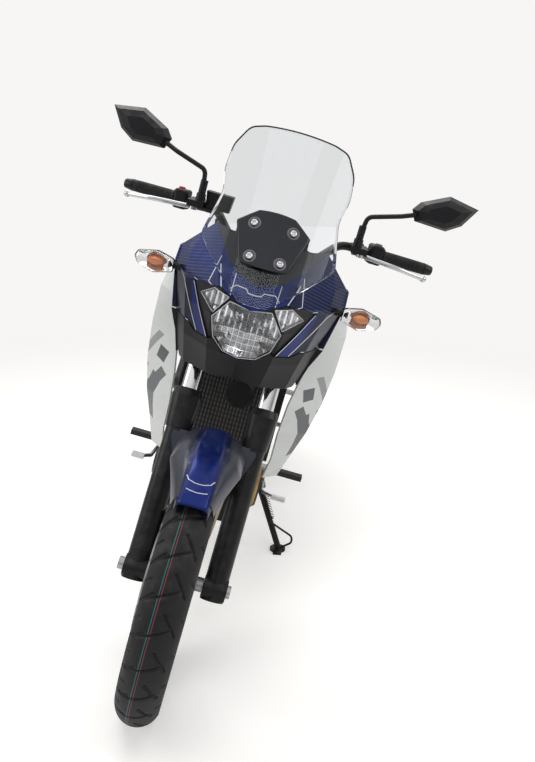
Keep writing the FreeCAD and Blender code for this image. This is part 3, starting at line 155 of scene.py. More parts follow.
def mesh_piece(name, verts, faces, body, slot, *replaced, material=None, smooth=True, outward=True, sharp=0.0):
    """One object of bare points and faces. Edges over the sharp angle stay edges in its shading."""
    mesh = bpy.data.meshes.new(name)
    mesh.vertices.add(len(verts))
    mesh.vertices.foreach_set("co", np.asarray(verts, np.float32).ravel())
    mesh.loops.add(faces.size)
    mesh.loops.foreach_set("vertex_index", np.asarray(faces, np.int32).ravel())
    mesh.polygons.add(len(faces))
    mesh.polygons.foreach_set("loop_start", np.arange(0, faces.size, faces.shape[1], dtype=np.int32))
    mesh.update(calc_edges=True)
    shape = bmesh.new()
    shape.from_mesh(mesh)
    bmesh.ops.remove_doubles(shape, verts=shape.verts, dist=2e-6)
    bmesh.ops.dissolve_degenerate(shape, edges=shape.edges, dist=1e-7)
    if outward:
        bmesh.ops.recalc_face_normals(shape, faces=shape.faces)
    if sharp:
        shape.normal_update()
        for edge in shape.edges:
            edge.smooth = len(edge.link_faces) == 2 and edge.calc_face_angle(0.0) < math.radians(sharp)
    shape.to_mesh(mesh)
    shape.free()
    mesh.polygons.foreach_set("use_smooth", np.full(len(mesh.polygons), smooth))
    mesh.materials.append(material or finishes[slot])
    return finish_piece(name, mesh, body, slot, *replaced)


def finish_piece(name, mesh, body, slot, *replaced):
    thing = bpy.data.objects.new(name, mesh)
    bpy.context.collection.objects.link(thing)
    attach(thing, body)
    if replaced:
        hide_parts(*replaced)
    return thing


def tube(path, radius, sides=16, hint=(0.0, 0.0, 1.0)):
    """A circle carried along a line, with its ends drawn to a point."""
    path = np.asarray(path, float)
    along = np.gradient(path, axis=0)
    along /= np.linalg.norm(along, axis=1, keepdims=True)
    side = np.cross(along, np.asarray(hint, float))
    side /= np.linalg.norm(side, axis=1, keepdims=True)
    over = np.cross(side, along)
    angle = np.linspace(0, 2 * np.pi, sides, endpoint=False)[:, None]
    body = path[:, None] + (side[:, None] * np.cos(angle) + over[:, None] * np.sin(angle)) * radius
    ends = [np.broadcast_to(path[i], (1, sides, 3)) for i in (0, -1)]
    return ring_grid(np.concatenate([ends[0], body, ends[1]]))


def turned(centre, axis, profile, sides=24):
    """A profile of (along, radius) points turned about an axis; radius 0 makes a closed pole."""
    axis = unit(axis)
    side = unit(np.cross(axis, (0.0, 1.0, 0.0) if abs(axis[2]) > 0.9 else (0.0, 0.0, 1.0)))
    over = np.cross(side, axis)
    profile = np.asarray(profile, float)
    angle = np.linspace(0, 2 * np.pi, sides, endpoint=False)[:, None]
    ring = side * np.cos(angle) + over * np.sin(angle)
    along, radius = profile[:, :1][:, None], profile[:, 1:][:, None]
    return ring_grid(np.asarray(centre, float) + axis * along + ring[None] * radius)


def soft_box(centre, half, sharp=0.22, axes=np.eye(3)):
    """A box with soft edges: a sphere's sines and cosines raised to a small power."""
    up = np.linspace(-np.pi / 2, np.pi / 2, 16)[:, None]
    round_it = np.linspace(0, 2 * np.pi, 24, endpoint=False)[None, :]

    def powered(v):
        return np.sign(v) * np.abs(v) ** sharp

    local = np.stack([powered(np.cos(up)) * powered(np.cos(round_it)) * half[0],
                      powered(np.cos(up)) * powered(np.sin(round_it)) * half[1],
                      powered(np.sin(up)) * half[2] * np.ones_like(round_it)], -1)
    return ring_grid(local @ np.asarray(axes, float) + centre)


def rounded(outline, reach, count=160, closed=False):
    """An outline resampled evenly and averaged over a reach, which rounds its corners."""
    line = np.asarray(outline, float)
    if closed:
        line = np.concatenate([line, line[:1]])
    run = np.concatenate([[0], np.cumsum(np.linalg.norm(np.diff(line, axis=0), axis=1))])
    spots = np.linspace(0, run[-1], count, endpoint=not closed)
    shifts = np.linspace(-reach, reach, 9)[:, None]
    if closed:
        where = (spots[None, :] + shifts) % run[-1]
    else:
        room = np.minimum(spots, run[-1] - spots)
        where = spots[None, :] + np.clip(shifts, -room, room)
    return np.stack([np.interp(where, run, line[:, k]).mean(0) for k in range(line.shape[1])], -1)


def hex_bolt(centre, axis, radius=6.0, height=5.0):
    """A cap bolt: a chamfered round head with a socket sunk in its top."""
    head = [(0, 0), (0, radius), (height - 1, radius), (height, radius - 1), (height, radius * 0.62)]
    socket = [(height, radius * 0.62), (height * 0.3, radius * 0.56), (height * 0.3, 0)]
    return [turned(centre, axis, head, 18), turned(centre, axis, socket, 18)]


def hex_nut(centre, axis, radius=8.0, height=7.0, bolt=4.0):
    """A six-sided nut over a washer, with the round bolt end that stands out of it."""
    washer = [(0, 0), (0, radius * 1.25), (1.6, radius * 1.25), (1.6, radius * 0.5)]
    nut = [(1.6, 0), (1.6, radius), (1.6 + height, radius), (1.6 + height, bolt)]
    end = [(height, bolt), (height + 4, bolt), (height + 5, bolt - 1), (height + 5, 0)]
    return [turned(centre, axis, washer), turned(centre, axis, nut, 6), turned(centre, axis, end, 14)]


def on_circle(centre, radius, count, start):
    """Spots on a circle square to X round a centre, from a part of a step."""
    for number in range(count):
        angle = 2 * math.pi * (number + start) / count
        yield np.asarray(centre, float) + (0, radius * math.cos(angle), radius * math.sin(angle))


# Shader tools

class Value:
    """An output socket in a shader tree. Its operators make Math nodes; | is the greater of two."""

    def __init__(self, socket):
        self.socket, self.tree = socket, socket.id_data

    def __add__(self, other):
        return maths("ADD", self, other)

    def __sub__(self, other):
        return maths("SUBTRACT", self, other)

    def __mul__(self, other):
        return maths("MULTIPLY", self, other)

    def __neg__(self):
        return self * -1.0

    def __abs__(self):
        return maths("ABSOLUTE", self)

    def __or__(self, other):
        return maths("MAXIMUM", self, other)

    def __gt__(self, other):
        return maths("GREATER_THAN", self, other)

    def __lt__(self, other):
        return maths("LESS_THAN", self, other)


def feed(socket, value):
    """Links a socket to a value, or sets it to a constant; a colour of three gets its alpha."""
    if isinstance(value, Value):
        value.tree.links.new(value.socket, socket)
    else:
        socket.default_value = (*value, 1.0) if isinstance(value, tuple) and len(value) == 3 else value


def maths(operation, a, b=0.0, clamp=False):
    node = (a if isinstance(a, Value) else b).tree.nodes.new("ShaderNodeMath")
    node.operation = operation
    node.use_clamp = clamp
    feed(node.inputs[0], a)
    feed(node.inputs[1], b)
    return Value(node.outputs[0])


def sine(value):
    return maths("SINE", value)


def distance(a, b):
    """How far the point (a, b) is from the middle."""
    return maths("SQRT", a * a + b * b)


def mixed(mask, a, b):
    """A colour between a and b by a mask."""
    node = mask.tree.nodes.new("ShaderNodeMix")
    node.data_type = "RGBA"
    for number, value in ((0, mask), (6, a), (7, b)):
        feed(node.inputs[number], value)
    return Value(node.outputs[2])


def blended(mask, a, b):
    """A number between a and b by a mask."""
    return mask * (b - a) + a


def ramp(value, low, high):
    """0 below low, 1 above high, straight between."""
    node = value.tree.nodes.new("ShaderNodeMapRange")
    for number, given in enumerate((value, low, high)):
        feed(node.inputs[number], given)
    return Value(node.outputs[0])


def texture(kind, vector, output, **values):
    node = vector.tree.nodes.new("ShaderNodeTex" + kind)
    for label, value in (("Vector", vector), *values.items()):
        feed(node.inputs[label], value)
    return Value(node.outputs[output])


def noise(vector, scale, detail=3.0):
    return texture("Noise", vector, "Fac", Scale=scale, Detail=detail)


def parts(vector, kind="XYZ"):
    """The three numbers of a vector or a colour."""
    node = vector.tree.nodes.new("ShaderNodeSeparate" + kind)
    feed(node.inputs[0], vector)
    return [Value(socket) for socket in node.outputs]


def source(tree, kind, output):
    """A named output of a new input node."""
    return Value(tree.nodes.new("ShaderNode" + kind).outputs[output])


def ray_kinds(tree):
    """Masks of rays that reflect, of rays from the camera or through glass, and of glossy ones of either kind."""
    path = {socket.name: Value(socket) for socket in tree.nodes.new("ShaderNodeLightPath").outputs}
    glossy, through = path["Is Glossy Ray"], path["Is Transmission Ray"]
    return maths("SUBTRACT", glossy, through, clamp=True), path["Is Camera Ray"] | through, glossy


def group(name, outputs, takes_vector=True, **numbers):
    """An empty shader node group: what goes in by name, and the sockets of what comes out."""
    tree = bpy.data.node_groups.new(name, "ShaderNodeTree")
    if takes_vector:
        tree.interface.new_socket("Vector", in_out="INPUT", socket_type="NodeSocketVector")
    for label, default in numbers.items():
        tree.interface.new_socket(label, in_out="INPUT", socket_type="NodeSocketFloat").default_value = default
    for label in outputs:
        tree.interface.new_socket(label, in_out="OUTPUT", socket_type="NodeSocketFloat")
    given = {socket.name: Value(socket) for socket in tree.nodes.new("NodeGroupInput").outputs if socket.name}
    return tree, given, tree.nodes.new("NodeGroupOutput").inputs


def make_grain():
    """Moulded grain: fine cells for the height, a slow cloud for the shade and the gloss."""
    tree, given, end = group("moulded_grain", ["Height", "Cloud"], Scale=900.0)
    feed(end["Height"], texture("Voronoi", given["Vector"], "Distance", Scale=given["Scale"]))
    feed(end["Cloud"], noise(given["Vector"], 9.0, 4.0))
    return tree


def make_dust():
    """Dust: more where a face looks up, broken up by a cloud."""
    tree, given, end = group("settled_dust", ["Mask"], Amount=0.1)
    up = ramp(parts(source(tree, "NewGeometry", "Normal"))[2], 0.1, 1.0)
    cloud = ramp(noise(given["Vector"], 38.0, 8.0), 0.45, 0.75)
    feed(end["Mask"], maths("MULTIPLY", up * cloud, given["Amount"], clamp=True))
    return tree


def make_place(name, axes, origin):
    """Object coordinates turned into millimetres in a frame of the motorcycle."""
    tree, given, end = group(name, ["Across", "Behind", "Up", "Beside"])
    mapping = tree.nodes.new("ShaderNodeMapping")
    mapping.vector_type = "TEXTURE"
    mapping.inputs["Location"].default_value = origin
    mapping.inputs["Rotation"].default_value = Matrix(axes.tolist()).to_euler()
    mapping.inputs["Scale"].default_value = (0.001, 0.001, 0.001)
    feed(mapping.inputs["Vector"], given["Vector"])
    x, y, z = parts(Value(mapping.outputs[0]))
    for label, value in (("Across", x), ("Behind", y), ("Up", z), ("Beside", abs(x))):
        feed(end[label], value)
    return tree


def make_line():
    """A painted line: 1 nearer than half its width to the segment between two points of a view."""
    tree, given, end = group("painted_line", ["Mask"], False, U=0.0, V=0.0, U1=0.0, V1=0.0, U2=0.0, V2=0.0, Half=0.0)
    u, v, u1, v1, u2, v2, half = given.values()
    along_u, along_v, from_u, from_v = u2 - u1, v2 - v1, u - u1, v - v1
    share = maths("DIVIDE", along_u * from_u + along_v * from_v, along_u * along_u + along_v * along_v, clamp=True)
    feed(end["Mask"], distance(from_u - along_u * share, from_v - along_v * share) < half)
    return tree


def make_edge():
    """One side of a painted area: 1 to the left of the line from the first point to the second."""
    tree, given, end = group("painted_edge", ["Mask"], False, U=0.0, V=0.0, U1=0.0, V1=0.0, U2=0.0, V2=0.0)
    u, v, u1, v1, u2, v2 = given.values()
    feed(end["Mask"], (u2 - u1) * (v - v1) > (v2 - v1) * (u - u1))
    return tree


grain_group = make_grain()
dust_group = make_dust()
upright_group = make_place("upright_place", turn, offset)
fork_group = make_place("fork_place", fork_turn, bike(FRONT_AXLE))
line_group = make_line()
edge_group = make_edge()

DUST = (0.35, 0.34, 0.32)


class Finish:
    """A material being built: its shader and the Object coordinates."""

    def __init__(self, name):
        self.material = bpy.data.materials.new(name)
        self.material.use_nodes = True
        self.tree = self.material.node_tree
        self.shader = next(n for n in self.tree.nodes if n.type == "BSDF_PRINCIPLED")
        self.place = source(self.tree, "TexCoord", "Object")

    def set(self, **values):
        for label, value in values.items():
            feed(self.shader.inputs[label.replace("_", " ")], value)

    def bump(self, height, depth, strength=1.0):
        node = self.tree.nodes.new("ShaderNodeBump")
        for label, value in (("Distance", depth), ("Strength", strength), ("Height", height)):
            feed(node.inputs[label], value)
        feed(self.shader.inputs["Normal"], Value(node.outputs["Normal"]))
        return self.material

    def group(self, tree, **values):
        node = self.tree.nodes.new("ShaderNodeGroup")
        node.node_tree = tree
        if "Vector" in node.inputs:
            values["Vector"] = self.place
        for label, value in values.items():
            feed(node.inputs[label], value)
        return {socket.name: Value(socket) for socket in node.outputs}

    def where(self, frame_group=None):
        """Millimetres across, behind and up, and the plain distance beside the middle plane."""
        return self.group(frame_group or upright_group).values()

    def dusty(self, colour, amount, dust=DUST):
        return mixed(self.group(dust_group, Amount=amount)["Mask"], colour, dust)

    def grain(self, scale):
        return self.group(grain_group, Scale=scale)

    def lines(self, u, v, runs, half):
        """Painted lines along runs of (u, v) points, as one mask."""
        mask = None
        for run in runs:
            for (u1, v1), (u2, v2) in zip(run, run[1:]):
                one = self.group(line_group, U=u, V=v, U1=u1, V1=v1, U2=u2, V2=v2, Half=half)["Mask"]
                mask = mask | one if mask else one
        return mask

    def areas(self, u, v, outlines):
        """Painted areas inside convex outlines, whose points go round to the left, as one mask."""
        mask = None
        for outline in outlines:
            area = None
            for (u1, v1), (u2, v2) in zip(outline, outline[1:] + outline[:1]):
                one = self.group(edge_group, U=u, V=v, U1=u1, V1=v1, U2=u2, V2=v2)["Mask"]
                area = area * one if area else one
            mask = mask | area if mask else area
        return mask


# Plain materials

def moulded(name, colour, roughness, grain_scale=900.0, depth=0.00012, dust=0.15):
    """Moulded plastic or rubber: fine grain, slow changes of shade and gloss, a little dust on top."""
    finish = Finish(name)
    height, cloud = finish.grain(grain_scale).values()
    shade = mixed(cloud, tuple(c * 0.85 for c in colour), tuple(min(c * 1.2 + 0.004, 1.0) for c in colour))
    finish.set(Base_Color=finish.dusty(shade, dust), Roughness=cloud * 0.10 + (roughness - 0.05),
               Specular_IOR_Level=0.22)
    return finish.bump(height, depth, 0.6)


def metal(name, colour, roughness, brush=0.0, coat=0.0):
    """Bare or plated metal: cloudy gloss and, when brushed, fine scratches along one way."""
    finish = Finish(name)
    cloud = noise(finish.place, 60.0, 6.0)
    finish.set(Base_Color=mixed(cloud, tuple(c * 0.86 for c in colour), colour),
               Roughness=cloud * 0.16 + (roughness - 0.06), Metallic=1.0, Coat_Weight=coat)
    if brush:
        stretch = finish.tree.nodes.new("ShaderNodeMapping")
        stretch.inputs["Scale"].default_value = (1.0, 40.0, 40.0)
        feed(stretch.inputs["Vector"], finish.place)
        finish.bump(noise(Value(stretch.outputs[0]), 60.0, 4.0), brush)
    return finish.material


def paint(finish, colour, flake, metallic, roughness=0.32, coat=0.22):
    """Clear-coated paint over a colour: flakes brighten tiny cells of it. Returns its slight orange peel."""
    sparkle = parts(texture("Voronoi", finish.place, "Color", Scale=2600.0), "Color")[0]
    shade = mixed(ramp(sparkle, 0.55, 1.0) * flake, colour, (0.06, 0.14, 0.70))
    finish.set(Base_Color=finish.dusty(shade, 0.05, (0.5, 0.5, 0.5)),
               Roughness=noise(finish.place, 7.0, 2.0) * 0.08 + (roughness - 0.04), Metallic=metallic,
               Coat_Weight=coat, Coat_Roughness=0.03, Specular_IOR_Level=0.25)
    return noise(finish.place, 260.0, 1.0)


def painted(name, colour, flake, metallic, roughness=0.32, coat=0.45):
    finish = Finish(name)
    return finish.bump(paint(finish, colour, flake, metallic, roughness, coat), 0.00004, 0.25)


def clear(name, colour, roughness=0.01, ior=1.49, through=1.0):
    finish = Finish(name)
    finish.set(Base_Color=colour, Roughness=roughness, IOR=ior, Transmission_Weight=through)
    return finish.material


def gloss_black(name, colour, roughness):
    """Glossy moulded black, under a clear coat, with slight waves."""
    finish = Finish(name)
    cloud = noise(finish.place, 9.0, 2.0)
    finish.set(Base_Color=mixed(cloud, colour, tuple(c * 1.6 for c in colour)),
               Roughness=blended(cloud, roughness, roughness + 0.08), Coat_Weight=0.3, Coat_Roughness=0.03,
               Specular_IOR_Level=0.22)
    return finish.bump(noise(finish.place, 14.0, 1.0), 0.0006, 0.2)


BLUE = (0.002, 0.014, 0.135)
NAVY = (0.0015, 0.003, 0.015)
RIB_BLUE = (0.05, 0.09, 0.30)
SILVER = (0.62, 0.64, 0.66)
WHITE = (0.72, 0.75, 0.735)

finishes = {
    "blue_paint": painted("blue_paint", BLUE, 0.12, 0.45),
    "white_paint": painted("white_paint", WHITE, 0.0, 0.0, 0.28),
    "grey_plastic": painted("grey_plastic", (0.032, 0.036, 0.050), 0.03, 0.35, 0.36, 0.25),
    "black_plastic": moulded("black_plastic", (0.008, 0.008, 0.010), 0.40),
    "black_metal": moulded("black_metal", (0.010, 0.010, 0.011), 0.32, 1500.0, 0.00004),
    "clear_screen": clear("clear_screen", (0.77, 0.795, 0.81), 0.01, 1.22),
    "lens": clear("lens", (0.98, 0.985, 0.99)),
    "red_lens": clear("red_lens", (0.75, 0.02, 0.02), 0.05),
    "chrome": metal("chrome", (0.80, 0.81, 0.82), 0.08),
    "silver": metal("silver", (0.63, 0.64, 0.66), 0.28, 0.00002),
    "steel": metal("steel", (0.48, 0.48, 0.49), 0.3, 0.00003),
    "tyre": moulded("tyre", (0.017, 0.017, 0.018), 0.60, 1300.0, 0.0001, 0.1),
    "rubber": moulded("rubber", (0.014, 0.014, 0.015), 0.55, 1200.0, 0.0001),
    "bronze": metal("bronze", (0.42, 0.25, 0.07), 0.3, coat=0.3),
    "vinyl": moulded("vinyl", (0.014, 0.014, 0.016), 0.48, 520.0, 0.0002),
    "header_steel": metal("header_steel", (0.45, 0.36, 0.27), 0.28),
}


def wear(node, material):
    """Gives a CAD node a material instead of the one it has."""
    nodes[node].data.materials.clear()
    nodes[node].data.materials.append(material)


for row in frame["record"]["subparts"]:
    wear(row["node"], finishes[row["material_slot"]])

# Camera

CAMERA = np.array([0.07625, -2.42284, 1.296])
YAW = math.radians(-3.0)
PITCH = math.radians(16.1)
ROLL = math.radians(1.9)
FOCAL_PIXELS = 806.0
FRAME_PIXELS = 762.0


def place_camera():
    """The camera that was fitted to the photograph, from its place, its three angles and its focal length."""
    forward = np.array([math.sin(YAW) * math.cos(PITCH), math.cos(YAW) * math.cos(PITCH), -math.sin(PITCH)])
    right = np.array([math.cos(YAW), -math.sin(YAW), 0.0])
    up = np.cross(right, forward)
    matrix = np.eye(4)
    matrix[:3, 0] = right * math.cos(ROLL) + up * math.sin(ROLL)
    matrix[:3, 1] = -right * math.sin(ROLL) + up * math.cos(ROLL)
    matrix[:3, 2] = -forward
    matrix[:3, 3] = CAMERA
    data = bpy.data.cameras.new("camera")
    data.sensor_fit = "VERTICAL"
    data.sensor_height = 36.0
    data.lens = FOCAL_PIXELS / FRAME_PIXELS * data.sensor_height
    data.clip_start = 0.05
    camera = bpy.data.objects.new("camera", data)
    camera.matrix_world = Matrix(matrix.tolist())
    bpy.context.collection.objects.link(camera)
    bpy.context.scene.camera = camera


place_camera()

# Front brake hose, a cord, from the caliper up behind the right fork leg to the bar

HOSE_ROUTE = [(-80, 74, 160), (-85, 76, 215), (-104, 60, 290), (-123, 43, 368), (-127, 36, 452), (-125, 31, 536),
              (-124, 30, 620), (-123, 34, 704), (-132, 44, 778), (-149, 60, 836), (-157, 73, 886)]
HOSE_RADIUS = 0.0032


def brake_hose():
    route = bike(fork(HOSE_ROUTE))
    line = bpy.data.curves.new("brake_hose_cord", "CURVE")
    line.dimensions = "3D"
    line.bevel_depth = HOSE_RADIUS
    line.bevel_resolution = 4
    line.resolution_u = 10
    line.use_fill_caps = True
    spline = line.splines.new("NURBS")
    spline.points.add(len(route) - 1)
    spline.points.foreach_set("co", np.column_stack([route, np.ones(len(route))]).astype(np.float32).ravel())
    spline.order_u = 3
    spline.use_endpoint_u = True
    line.materials.append(finishes["rubber"])
    hose = finish_piece("brake_hose_cord", line, "steering", "rubber")


brake_hose()

# Painted panels

def mask_paint():
    """Near-black navy with candy blue as a painted highlight at the centre and on the brow, with contour ribs and
    pinstripes.
    """
    finish = Finish("mask_paint")
    x, _, v, u = finish.where()
    # Painted highlight: the navy turns candy blue in the middle band and on the brow, in cloudy patches. The brow is
    # brighter on the rider's right side.
    brow = ramp(v, 985.0, 1045.0) * blended(ramp(x, -60.0, 40.0), 0.85, 0.22)
    cloud = ramp(noise(finish.place, 6.0, 2.0), 0.3, 0.7)
    painted_highlight = (ramp(-u, -88.0, -60.0) | brow) * blended(cloud, 0.75, 1.0)
    on_brow = ramp(u, 96.0, 104.0) * ramp(v, 992.0, 1000.0)
    rib = ramp(sine(v * 0.92 + u * 0.34), 0.55, 0.95) * on_brow
    colour = mixed(rib * 0.5, mixed(painted_highlight, NAVY, BLUE), RIB_BLUE)
    silver = finish.lines(u, v, [[(0, 1021), (14, 1021), (20, 1027), (44, 1027), (54, 1018)],
                                 [(52, 1046), (50, 1002)],
                                 [(88, 992), (146, 1002)],
                                 [(96, 1068), (108, 1012), (82, 1004)]], 0.9)
    bands = finish.lines(u, v, [[(72, 1006), (92, 1052)]], 1.3)
    fangs = finish.areas(u, v, [[(86, 892), (112, 892), (150, 986), (146, 996)]])
    fang_edge = finish.lines(u, v, [[(82, 893), (144, 994)], [(110, 893), (172, 986), (196, 1006)]], 1.0)
    colour = mixed(silver | bands | fang_edge, mixed(fangs, colour, BLUE), SILVER)
    return finish.bump(paint(finish, colour, 0.10, 0.60, 0.30) * 0.08 + rib, 0.0005, 0.5)


def fender_paint():
    """Blue fender: contour ribs along its band, darker flanks and two fine arcs behind the tip."""
    finish = Finish("fender_paint")
    _, behind, up, u = finish.where(fork_group)
    angle = maths("ARCTAN2", -behind, up)
    on_band = ramp(-u, -27.0, -24.0) * (ramp(angle, -0.30, -0.26) * ramp(-angle, -0.56, -0.50))
    rib = ramp(sine(angle * 230.0 + u * 0.16), 0.4, 0.95) * on_band
    colour = mixed(rib * 0.35, mixed(ramp(u, 27.0, 32.0), BLUE, (0.003, 0.008, 0.06)), RIB_BLUE)
    arcs = finish.lines(u, angle * 350.0, [[(0, 315), (10, 314), (24, 308), (30, 294)],
                                           [(0, 336), (14, 334), (22, 331)]], 0.9)
    peel = paint(finish, mixed(arcs, colour, SILVER), 0.10, 0.60, 0.30)
    return finish.bump(peel * 0.08 + rib, 0.0004, 0.5)


def shroud_paint():
    """Pale paint with an angular grey design of slanted bars low on each side."""
    finish = Finish("shroud_paint")
    _, y, z, _ = finish.where()
    dark = finish.areas(y, z, [[(-400, 700), (-330, 628), (-312, 640), (-388, 716)],
                               [(-372, 672), (-288, 560), (-270, 572), (-352, 690)],
                               [(-330, 620), (-262, 520), (-246, 532), (-312, 636)],
                               [(-410, 764), (-396, 728), (-372, 736), (-384, 772)]])
    pale = finish.areas(y, z, [[(-340, 700), (-276, 604), (-262, 612), (-326, 708)],
                               [(-392, 800), (-340, 726), (-328, 732), (-378, 806)]])
    colour = mixed(dark, mixed(pale, WHITE, (0.36, 0.38, 0.38)), (0.13, 0.14, 0.15))
    return finish.bump(paint(finish, colour, 0.0, 0.0, 0.28), 0.00004, 0.25)


# Tyres: a closed ring whose tread is cut by two families of slanted grooves

TREAD_PITCH = 80.0
GROOVE_DEPTH = 4.6
GROOVES = (
    # from (across, round) to (across, round), half width, in millimetres
    (-40.0, 0.0, 26.0, 37.0, 2.8),
    (6.0, 66.0, 34.0, 22.0, 2.4),
    (-58.0, 34.0, -34.0, 46.0, 2.4),
    (60.0, 44.0, 40.0, 56.0, 2.4),
    (-20.0, 20.0, -52.0, -6.0, 2.2),
)


def groove_share(s, u):
    """How much of the groove's depth there is at a spot across (s) and round (u) the tread."""
    depth = np.zeros(np.broadcast(s, u).shape)
    for s1, u1, s2, u2, half in GROOVES:
        for shift in (-TREAD_PITCH, 0.0, TREAD_PITCH):
            run = np.array([s2 - s1, u2 - u1])
            ds, du = s - s1, u - u1 - shift
            share = np.clip((ds * run[0] + du * run[1]) / (run @ run), 0, 1)
            far = np.hypot(ds - share * run[0], du - share * run[1])
            depth = np.maximum(depth, np.clip((half + 0.9 - far) / 1.8, 0, 1))
    return depth


def tyre(end, axle, radius, width, crown, bead, rim_width, rows, direction):
    """Section of arcs and lines, as the tyre's solid has, turned round the axle; the tread is cut into it."""
    shoulder, lip, half, rim = radius - crown, bead + 14.0, width / 2, rim_width / 2
    middle = (shoulder + lip) / 2
    arc = (half ** 2 + crown ** 2) / (2 * crown)
    reach = math.asin(half / arc) * arc
    s = np.linspace(-reach, reach, 62)
    tread = np.stack([arc * np.sin(s / arc), radius - arc + arc * np.cos(s / arc)], -1)
    wall = np.array([(half - 0.6, shoulder - 4), (half - 1.2, middle + 8), (half - 2.0, middle),
                     (half - 3.4, middle - 6), (rim + 4.5, lip + 9), (rim + 3.6, lip + 4), (rim + 1.8, lip + 3),
                     (rim + 1.2, lip), (rim - 4.6, lip), (rim - 4.6, bead + 0.4)])
    section = np.concatenate([tread, wall, wall[::-1] * [-1, 1]])
    repeats = round(2 * math.pi * radius / TREAD_PITCH)
    angle = np.linspace(0, 2 * np.pi, rows, endpoint=False)[:, None]
    round_tread = (angle * direction * repeats * TREAD_PITCH / (2 * np.pi)) % TREAD_PITCH
    across_tread = np.zeros(len(section))
    across_tread[:len(s)] = s * 58.0 / reach
    cut = groove_share(across_tread[None, :], round_tread) * GROOVE_DEPTH
    cut[:, len(s):] = 0
    cut[:, [0, len(s) - 1]] *= 0.3
    r = section[None, :, 1] - cut
    points = np.stack([np.broadcast_to(section[None, :, 0], r.shape), r * np.sin(angle), r * np.cos(angle)], -1)
    name = end + "_tyre_tread"
    piece(name, [Grid(points + axle, True, True)], end + "_wheel", "tyre", end + "_tyre",
          material=tyre_rubber(name + "_rubber", axle, radius))


def from_axle(axle, behind, up):
    return distance(behind - float(axle[1]), up - float(axle[2]))


def tyre_rubber(name, axle, radius):
    """Tread rubber with two thin coloured moulding lines off its middle, and rings on its side walls."""
    finish = Finish(name)
    x, behind, up, _ = finish.where()
    far = from_axle(axle, behind, up)
    worn = ramp(noise(finish.place, 30.0, 6.0), 0.35, 0.7)
    colour = mixed(worn, (0.007, 0.007, 0.008), (0.014, 0.014, 0.015))
    on_tread = ramp(far, radius - 6.0, radius - 4.0)
    for spot, line_colour in ((-9.0, (0.30, 0.05, 0.07)), (-14.0, (0.03, 0.22, 0.23))):
        colour = mixed((abs(x - spot) < 0.9) * on_tread * 0.7, colour, line_colour)
    finish.set(Base_Color=finish.dusty(colour, 0.10), Roughness=blended(worn, 0.52, 0.66), Specular_IOR_Level=0.3)
    rings = ramp(sine(far * 1.6), 0.6, 0.9) * (far < radius - 44.0)
    return finish.bump(finish.grain(1300.0)["Height"] * 0.25 + rings, 0.0004, 0.6)


tyre("front", FRONT_AXLE, 331.0, 100.0, 38.0, 241.0, 74.0, 936, 1)
tyre("rear", REAR_AXLE, 320.0, 130.0, 42.0, 216.0, 96.0, 900, -1)

# Windscreen, its dark cover and the bolts through both

SCREEN_ROWS = np.array([(990, -734, 170), (1110, -646, 186), (1240, -560, 200), (1390, -472, 250)], float)
SCREEN_BOLTS = ((44.0, 1160.0), (34.0, 1094.0))
screen_y = np.polynomial.Polynomial.fit(SCREEN_ROWS[:, 0], SCREEN_ROWS[:, 1], 2)
screen_radius = np.polynomial.Polynomial.fit(SCREEN_ROWS[:, 0], SCREEN_ROWS[:, 2], 2)


def on_screen(x, z, ahead=0.0):
    """A point of the screen's outer face: round in plan, its radius and place smooth in height."""
    r = screen_radius(z)
    y = screen_y(z) + r - np.sqrt(np.maximum(r * r - x * x, 0.0)) - ahead
    return np.stack([x, y, z], -1)


def shield(side_edge, domes, ahead, thickness, columns=41):
    """A sheet on the screen's form between its mirrored side edges, domed at the top and foot, with a wall."""
    share = np.linspace(-1, 1, columns)[None, :]
    run = np.linspace(0, 1, len(side_edge))[:, None]
    dome = domes[0] * (1 - run) ** 6 + domes[1] * run ** 6
    x = side_edge[:, :1] * share
    z = side_edge[:, 1:] + dome * (1 - share ** 2)
    front = on_screen(x, z, ahead)
    back = on_screen(x * (1 - thickness / 200), z, ahead - thickness)
    return skin(np.concatenate([front, back[:, ::-1]], 1))


def windscreen():
    edge = rounded([(20, 1002), (36, 1004), (160, 1098), (146, 1160), (137, 1203), (150, 1250), (146, 1306),
                    (118, 1354), (84, 1364)], 12, 90)
    piece("windscreen_sheet", [shield(edge, (0, 6), 0.0, 4.0)], "root", "clear_screen", "windscreen")
    sides = edge[edge[:, 1] > 1290]
    top = 6 * (1 - np.linspace(1, 0, 24)[1:] ** 2)
    half = np.concatenate([sides, np.stack([np.linspace(sides[-1, 0], 0, 24)[1:], sides[-1, 1] + top], -1)])
    outer = np.concatenate([half * [-1, 1], half[-2::-1]])
    inner = outer * [0.982, 1.0] - [0, 3.2]
    rows = [on_screen(line[:, 0], line[:, 1], ahead)
            for line, ahead in ((outer, 0.5), (inner, 0.5), (inner, 0.0), (outer, 0.0))]
    piece("windscreen_edge", [Grid(np.stack(rows), wrap_rows=True)], "root", "black_plastic")


def screen_cover():
    edge = rounded([(50, 1079), (57, 1084), (85, 1156), (60, 1175), (42, 1188)], 5, 60)
    piece("screen_cover_shell", [shield(edge, (-2, 4), 6.0, 5.5, 31)], "root", "black_plastic", "screen_cover",
          material=gloss_black("cover_gloss", (0.008, 0.009, 0.014), 0.10))
    washers, bolts = [], []
    washer = [(-3, 0), (-3, 14.5), (0.6, 14.5), (1.8, 13.6), (1.8, 11.0), (0.4, 10.4), (0.4, 0)]
    for x, z in SCREEN_BOLTS:
        for side in (-1, 1):
            spot = on_screen(np.array(side * x), np.array(z), 6.2)
            lean = x / screen_radius(z)
            out = unit(unit([side * lean, -math.sqrt(1 - lean ** 2), 0]) + np.array([0, 0, 0.55]))
            washers.append(turned(spot, out, washer, 32))
            bolts += hex_bolt(spot + out * 0.2, out, 7.4, 4.8)
    piece("cover_washers", washers, "root", "black_plastic",
          material=gloss_black("washer_gloss", (0.09, 0.09, 0.10), 0.25))
    piece("cover_bolts", bolts, "root", "chrome")


windscreen()
screen_cover()

